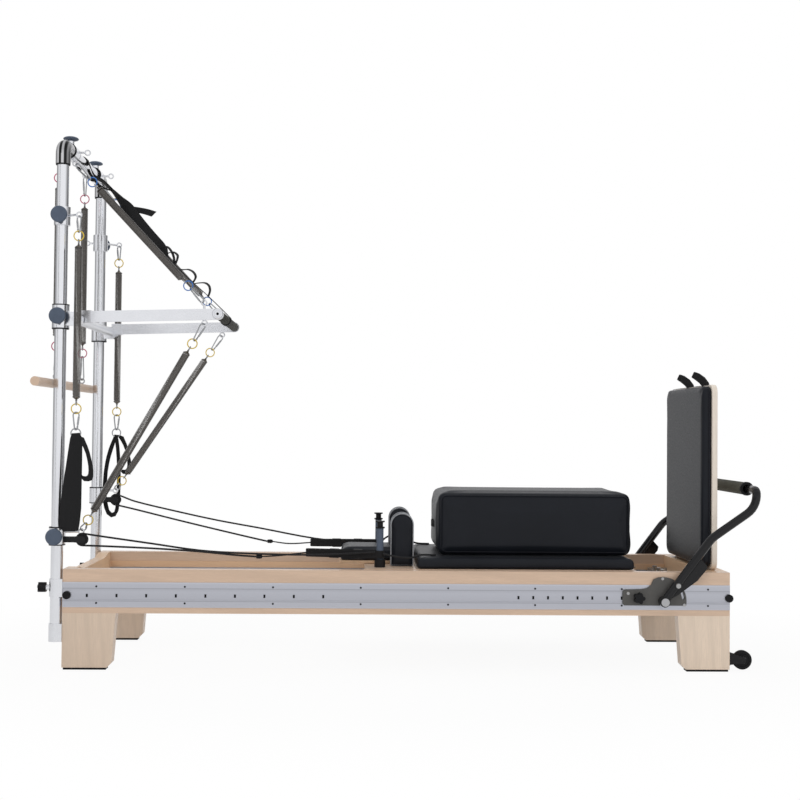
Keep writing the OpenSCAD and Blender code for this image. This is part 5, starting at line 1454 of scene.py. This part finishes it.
class REFORMER_OT_jump_board(bpy.types.Operator):
    """Jump board: cushion, maple panel, and two pull loops"""

    bl_idname = "reformer.jump_board"
    bl_label = "Jump board"

    def execute(self, context):
        low, high = at(2280, -269, 361), at(2311.6, 269, 1023)
        bm = bmesh.new()
        flat = round_rectangle((low.y, low.z), (high.y, high.z), 0.030, 8)
        outline = [Vector((high.x, y, z)) for y, z in flat]
        board(bm, outline, Vector((low.x - high.x, 0, 0)), 0.007, segments=4)
        cover(
            bm, "jump_board_cushion", "leather", cap=0.0030, voxel=0.0055, body="jump_board",
            nodes=("jump_board_pad",), held=lambda place: place.x > high.x - 0.003,
        )
        bm = bmesh.new()
        flat = round_rectangle((low.y - 0.001, low.z - 0.001), (high.y + 0.001, high.z + 0.001), 0.031, 8)
        rim_line(bm, [Vector((high.x - 0.009, y, z)) for y, z in flat], PAD_SEAM)
        finished(bm, "jump_board_seam", "leather", body="jump_board", nodes=("jump_board_pad",))
        bm = bmesh.new()
        flat = round_rectangle((-0.272, 0.3523), (0.272, 1.026), 0.032, 8)
        board(bm, [at(2312, 0, 0) + Vector((0, y, z)) for y, z in flat], Vector((0.020, 0, 0)), 0.003)
        finished(bm, "jump_board_timber", "board_maple", body="jump_board", nodes=("jump_board_panel",))
        bm = bmesh.new()
        tab = [(20, -10, 4, 26), (17, 4, 5, 27), (4, 20, 6, 28), (-14, 33, 6, 27), (-27, 39, 4, 24)]
        tab.append((-30, 40, 0, 23))
        for y in (-150, 60):
            places = tab + [(x, z, -depth, width) for x, z, depth, width in reversed(tab[:-1])]
            frames = []
            for i, (x, z, depth, width) in enumerate(places):
                before, after = places[max(i - 1, 0)], places[min(i + 1, len(places) - 1)]
                if i >= len(tab) - 1:
                    before, after = after, before
                run = Vector((after[0] - before[0], 0, after[1] - before[1]))
                if run.length < 3:
                    run = Vector((-0.9, 0, 0.42))
                across = run.normalized().cross(Vector((0, 1, 0)))
                out = Vector((0, 1, 0)) if abs(depth) > 1 else Vector((-0.9, 0, 0.42))
                out = -out if depth > 1 else out
                frames.append((at(2304 + x, y - depth, 1026 + z), across * (width / 1000), out))
            sweep(bm, frames, ribbon(sizes().webbing_thickness * 0.5))
            spot = at(2332.4, y, 1012)
            inner, outer = Vector((-0.0008, -0.015, -0.012)), Vector((0.0016, 0.015, 0.012))
            slab(bm, spot + inner, spot + outer, 0.0006, 0, 2)
        finished(bm, "jump_board_loops", "webbing", body="jump_board", nodes=("jump_board_panel",))
        return {"FINISHED"}


class REFORMER_OT_grips(bpy.types.Operator):
    """Foam sleeves of the footbar and the push bar, with collars and end caps"""

    bl_idname = "reformer.grips"
    bl_label = "Grips"

    def execute(self, context):
        across = Vector((0, 1, 0))
        bm = bmesh.new()
        start = at(2445, -241, 648)
        profile = [(0.0151, 0), (0.0215, 0), (0.023, 0.0015)]
        profile += [(0.023, 0.4805), (0.0215, 0.482), (0.0151, 0.482)]
        turned(bm, profile, start, across, 0, 32, closed=True)
        for sign in (-1, 1):
            edge = at(2445, sign * 255, 648)
            profile = [(0.0151, 0), (0.0235, 0), (0.025, 0.0015)]
            profile += [(0.025, 0.0125), (0.0235, 0.014), (0.0151, 0.014)]
            turned(bm, profile, edge, -across * sign, 1, 32, closed=True)
        finished(bm, "footbar_sleeve", "olive_foam", "black", body="footbar", nodes=("footbar_grip",))
        bm = bmesh.new()
        axis = at(524.4, 0, 1258.6)
        profile = [(0.0126, -0.2697), (0.0155, -0.2697), (0.017, -0.268)]
        profile += [(0.017, 0.268), (0.0155, 0.2697), (0.0126, 0.2697)]
        turned(bm, profile, axis, across, 0, 28, closed=True)
        for sign in (-1, 1):
            face = axis + across * (sign * 0.2823)
            profile = [(0, 0), (0.0185, 0), (0.0195, 0.0012), (0.0195, 0.0098), (0.0175, 0.0126)]
            profile += [(0.0135, 0.0130), (0.0128, 0.0122), (0.0112, 0.0122), (0.0104, 0.0130)]
            profile += [(0.0052, 0.0130), (0.0048, 0.0126), (0.0046, 0.0075), (0, 0.0075)]
            turned(bm, profile, face, across * sign, 1, 32)
            # Painted shadow: a near-black disc at the bottom of each end cap's bore.
            bar(bm, face + across * (sign * 0.0076), face + across * (sign * 0.0080), 0.0044, 2)
        finished(
            bm, "push_bar_sleeve", "dark_foam", "satin", "socket", body="push_bar", nodes=("push_bar_grip",)
        )
        return {"FINISHED"}


# Finishes of the CAD nodes that stay

NODE_FINISHES = {
    "side_rails": "rail_maple",
    "end_boards": "end_maple",
    "legs": "leg_maple",
    "rubber_feet": "rubber",
    "side_profiles": "anodised",
    "bed_screws": "black_metal",
    "spring_bar": "steel",
    "tower_clamps": "satin",
    "tower_tubes": "bright",
    "elbows": "elbow",
    "tower_collars": "bright",
    "collar_bushes": "black",
    "pulley_blocks": "black_metal",
    "footbar_brackets": "quadrant",
    "wheel_brackets": "black_metal",
    "footbar_frame": "gloss_black",
    "footbar_lock": "steel",
    "carriage_deck": "deck_maple",
    "rope_posts": "post",
    "roller_axle_head": "steel",
    "roller_axle_foot": "steel",
    "push_bar_frame": "satin",
    "roll_down_bar": "roll_bar_maple",
    "upper_collar_near": "bright",
    "upper_collar_far": "bright",
    "pulley_near": "black",
    "pulley_far": "black",
}


class REFORMER_OT_frame_finishes(bpy.types.Operator):
    """Finishes for the pieces that keep the CAD's shape"""

    bl_idname = "reformer.frame_finishes"
    bl_label = "Frame finishes"

    def execute(self, context):
        names = dict(NODE_FINISHES)
        for side in ("near", "far"):
            for knob in ("upper", "push", "lower", "top"):
                names[f"knob_{knob}_{side}"] = "slate"
            names[f"tower_star_{side}"] = "black"
            names[f"footbar_star_{side}"] = "black"
        for name, finish in names.items():
            materials = NODES[name].data.materials
            materials.clear()
            materials.append(finish_for(finish))
        for side in ("near", "far"):
            low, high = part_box(f"wheel_{side}")
            rubber = wheel_rubber((low[0] + high[0]) / 2, (low[2] + high[2]) / 2)
            materials = NODES[f"wheel_{side}"].data.materials
            materials.clear()
            materials.append(rubber)
        return {"FINISHED"}


# Stations of the profiles' holes: the head end's row and the foot end's closer one
PROFILE_HOLES = [85 + 103.5 * i for i in range(9)] + [1604 + 52.6 * i for i in range(8)]


class REFORMER_OT_small_metal(bpy.types.Operator):
    """Rivets on the quadrants, and near-black slabs of painted shadow over the profiles' holes"""

    bl_idname = "reformer.small_metal"
    # The dark slabs made here are painted shadow over the profiles' holes.
    bl_label = "Rivets and inserts"

    def execute(self, context):
        bm = bmesh.new()
        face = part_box("footbar_brackets")[0][1]
        for station, z in ((2107, 335), (1985, 283), (2184, 243)):
            for sign in (-1, 1):
                spot = at(station, 0, z)
                spot.y = sign * -face
                way = Vector((0, sign, 0))
                profile = [(0, -0.001), (0.0055, -0.001), (0.0052, 0.0012)]
                profile += [(0.0035, 0.0024), (0.0022, 0.0026), (0, 0.0016)]
                turned(bm, profile, spot, way, 0, 18)
        finished(bm, "quadrant_rivets", "steel", body=BED)
        # Painted shadow: thin near-black slabs on the profiles' outer faces where their holes are.
        bm = bmesh.new()
        face = profile_face()
        for station in PROFILE_HOLES:
            for sign in (-1, 1):
                spot = at(station, 0, 260)
                spot.y = sign * (face + 0.0001)
                half = Vector((0.0034, 0.0004, 0.0058))
                slab(bm, spot - half, spot + half, 0.00035, 0, 2)
        finished(bm, "profile_inserts", "socket", body=BED)
        return {"FINISHED"}


# Studio

# Greys that the metal mirrors, from the head end's side to the foot end's
ROOM_IN_FRONT = (
    (0.0, 0.50), (0.03, 0.85), (0.14, 0.92), (0.155, 0.20), (0.185, 0.20), (0.20, 0.95), (0.50, 1.0),
    (0.92, 1.0), (0.97, 0.75), (1.0, 0.50),
)
ROOM_BEHIND = (
    (0.0, 0.45), (0.12, 0.25), (0.28, 0.50), (0.36, 0.95), (0.64, 0.95), (0.72, 0.50), (0.88, 0.15),
    (1.0, 0.35),
)
# The camera that the photograph was solved for: its place, and its turns in degrees
CAMERA_PLACE = (-0.150, -4.664, 0.849)
CAMERA_YAW, CAMERA_PITCH, CAMERA_ROLL = 1.75, 1.42, 0.53


class REFORMER_OT_stage(bpy.types.Operator):
    """Camera, white floor, soft lamps and a pale world"""

    bl_idname = "reformer.stage"
    bl_label = "Studio"

    def execute(self, context):
        scene = context.scene
        scene.view_settings.view_transform = "Standard"
        self.camera(scene)
        self.floor()
        self.world(scene)
        lamps = (
            ("key_lamp", (-2.2, -4.2, 3.4), 3.2, 46.0),
            ("fill_lamp", (3.4, -4.0, 1.6), 3.0, 24.0),
            ("top_lamp", (0.2, 0.4, 3.8), 3.6, 34.0),
        )
        for name, place, size, power in lamps:
            data = bpy.data.lights.new(name, "AREA")
            data.shape = "SQUARE"
            data.size = size
            data.energy = power
            lamp = bpy.data.objects.new(name, data)
            lamp.location = place
            lamp.visible_glossy = False
            aim = Vector((0, 0, 0.6)) - Vector(place)
            lamp.rotation_euler = aim.to_track_quat("-Z", "Y").to_euler()
            scene.collection.objects.link(lamp)
        return {"FINISHED"}

    def camera(self, scene):
        data = bpy.data.cameras.new("studio_camera")
        data.lens = 55
        data.sensor_width = 36
        data.sensor_fit = "HORIZONTAL"
        data.clip_end = 60
        camera = bpy.data.objects.new("studio_camera", data)
        yaw, pitch, roll = (math.radians(turn) for turn in (CAMERA_YAW, CAMERA_PITCH, CAMERA_ROLL))
        ahead = Vector((math.sin(yaw) * math.cos(pitch), math.cos(yaw) * math.cos(pitch), math.sin(pitch)))
        right = ahead.cross(Vector((0, 0, 1))).normalized()
        up = right.cross(ahead)
        turned_right = right * math.cos(roll) + up * math.sin(roll)
        turned_up = up * math.cos(roll) - right * math.sin(roll)
        turn = Matrix((turned_right, turned_up, -ahead)).transposed()
        camera.matrix_world = Matrix.Translation(CAMERA_PLACE) @ turn.to_4x4()
        scene.collection.objects.link(camera)
        scene.camera = camera

    def floor(self):
        """Wide white floor that keeps the shadow near the object and fades to white further off."""
        bm = bmesh.new()
        bmesh.ops.create_circle(bm, cap_ends=True, segments=96, radius=14)
        mesh = bpy.data.meshes.new("studio_floor")
        bm.to_mesh(mesh)
        bm.free()
        floor = bpy.data.objects.new("studio_floor", mesh)
        bpy.context.scene.collection.objects.link(floor)
        finish = Finish("white_floor")
        finish.surface(Base_Color=(0.86, 0.86, 0.86), Roughness=0.8)
        ray = finish.add("ShaderNodeLightPath")
        glow = finish.add("ShaderNodeEmission")
        glow.inputs["Strength"].default_value = 1.0
        place = finish.object_place((0.42, 0.62, 1))
        length = finish.add("ShaderNodeVectorMath", operation="LENGTH")
        finish.join(place, length.inputs[0])
        far = finish.span(length.outputs["Value"], 0.62, 1.05, 0.93, 1.0)
        mirrored = finish.sum("MULTIPLY", ray.outputs["Is Glossy Ray"], 0.35)
        seen = finish.sum("MAXIMUM", ray.outputs["Is Camera Ray"], mirrored)
        share = finish.sum("MULTIPLY", seen, far)
        both = finish.add("ShaderNodeMixShader")
        finish.join(share, both.inputs[0])
        finish.join(finish.shader.outputs[0], both.inputs[1])
        finish.join(glow.outputs[0], both.inputs[2])
        finish.join(both.outputs[0], finish.tree.nodes["Material Output"].inputs["Surface"])
        mesh.materials.append(finish.material)

    def world(self, scene):
        """White to the camera, and for the metal to mirror a bright room with dark strips at the sides."""
        world = bpy.data.worlds.new("studio_world")
        world.use_nodes = True
        scene.world = world
        room = Shading(world.node_tree)
        split = room.add("ShaderNodeSeparateXYZ")
        room.join(room.add("ShaderNodeTexCoord").outputs["Generated"], split.inputs[0])
        across = room.span(split.outputs[0], -1.0, 1.0)
        front = room.ramp(across, *greys(*ROOM_IN_FRONT, blue=1.01))
        back = room.ramp(across, *greys(*ROOM_BEHIND, blue=1.01))
        walls = room.mix(room.span(split.outputs[1], -0.15, 0.25), front, back)
        mirrored = room.mix(room.span(split.outputs[2], 0.25, 0.7), walls, (0.72, 0.72, 0.73))
        ray = room.add("ShaderNodeLightPath")
        lit = room.mix(ray.outputs["Is Glossy Ray"], (0.66, 0.66, 0.665), mirrored)
        seen = room.mix(ray.outputs["Is Camera Ray"], lit, (1.0, 1.0, 1.0))
        room.join(seen, world.node_tree.nodes["Background"].inputs["Color"])


OPERATORS = (
    REFORMER_OT_stage,
    REFORMER_OT_ropes,
    REFORMER_OT_rope_loops,
    REFORMER_OT_frame_finishes,
    REFORMER_OT_push_springs,
    REFORMER_OT_roll_springs,
    REFORMER_OT_hand_springs,
    REFORMER_OT_carriage_springs,
    REFORMER_OT_hand_straps,
    REFORMER_OT_safety_strap,
    REFORMER_OT_carriage_pad,
    REFORMER_OT_headrest,
    REFORMER_OT_shoulder_rests,
    REFORMER_OT_sitting_box,
    REFORMER_OT_jump_board,
    REFORMER_OT_grips,
    REFORMER_OT_small_metal,
)


class REFORMER_PT_panel(bpy.types.Panel):
    """Sidebar list of the pieces and their settings"""

    bl_idname = "REFORMER_PT_panel"
    bl_label = "Tower reformer"
    bl_space_type = "VIEW_3D"
    bl_region_type = "UI"
    bl_category = "Reformer"

    def draw(self, context):
        layout = self.layout
        for operator in OPERATORS:
            layout.operator(operator.bl_idname)
        for group in (context.scene.reformer_sizes, context.scene.reformer_colours):
            for key in group.__annotations__:
                layout.prop(group, key)


CLASSES = (ReformerSizes, ReformerColours, *OPERATORS, REFORMER_PT_panel)


def register():
    for item in CLASSES:
        bpy.utils.register_class(item)
    bpy.types.Scene.reformer_sizes = PointerProperty(type=ReformerSizes)
    bpy.types.Scene.reformer_colours = PointerProperty(type=ReformerColours)


def unregister():
    del bpy.types.Scene.reformer_colours
    del bpy.types.Scene.reformer_sizes
    for item in reversed(CLASSES):
        bpy.utils.unregister_class(item)


def main():
    register()
    for operator in OPERATORS:
        group, name = operator.bl_idname.split(".")
        getattr(getattr(bpy.ops, group), name)()
    bpy.context.view_layer.update()


if __name__ == "__main__":
    main()
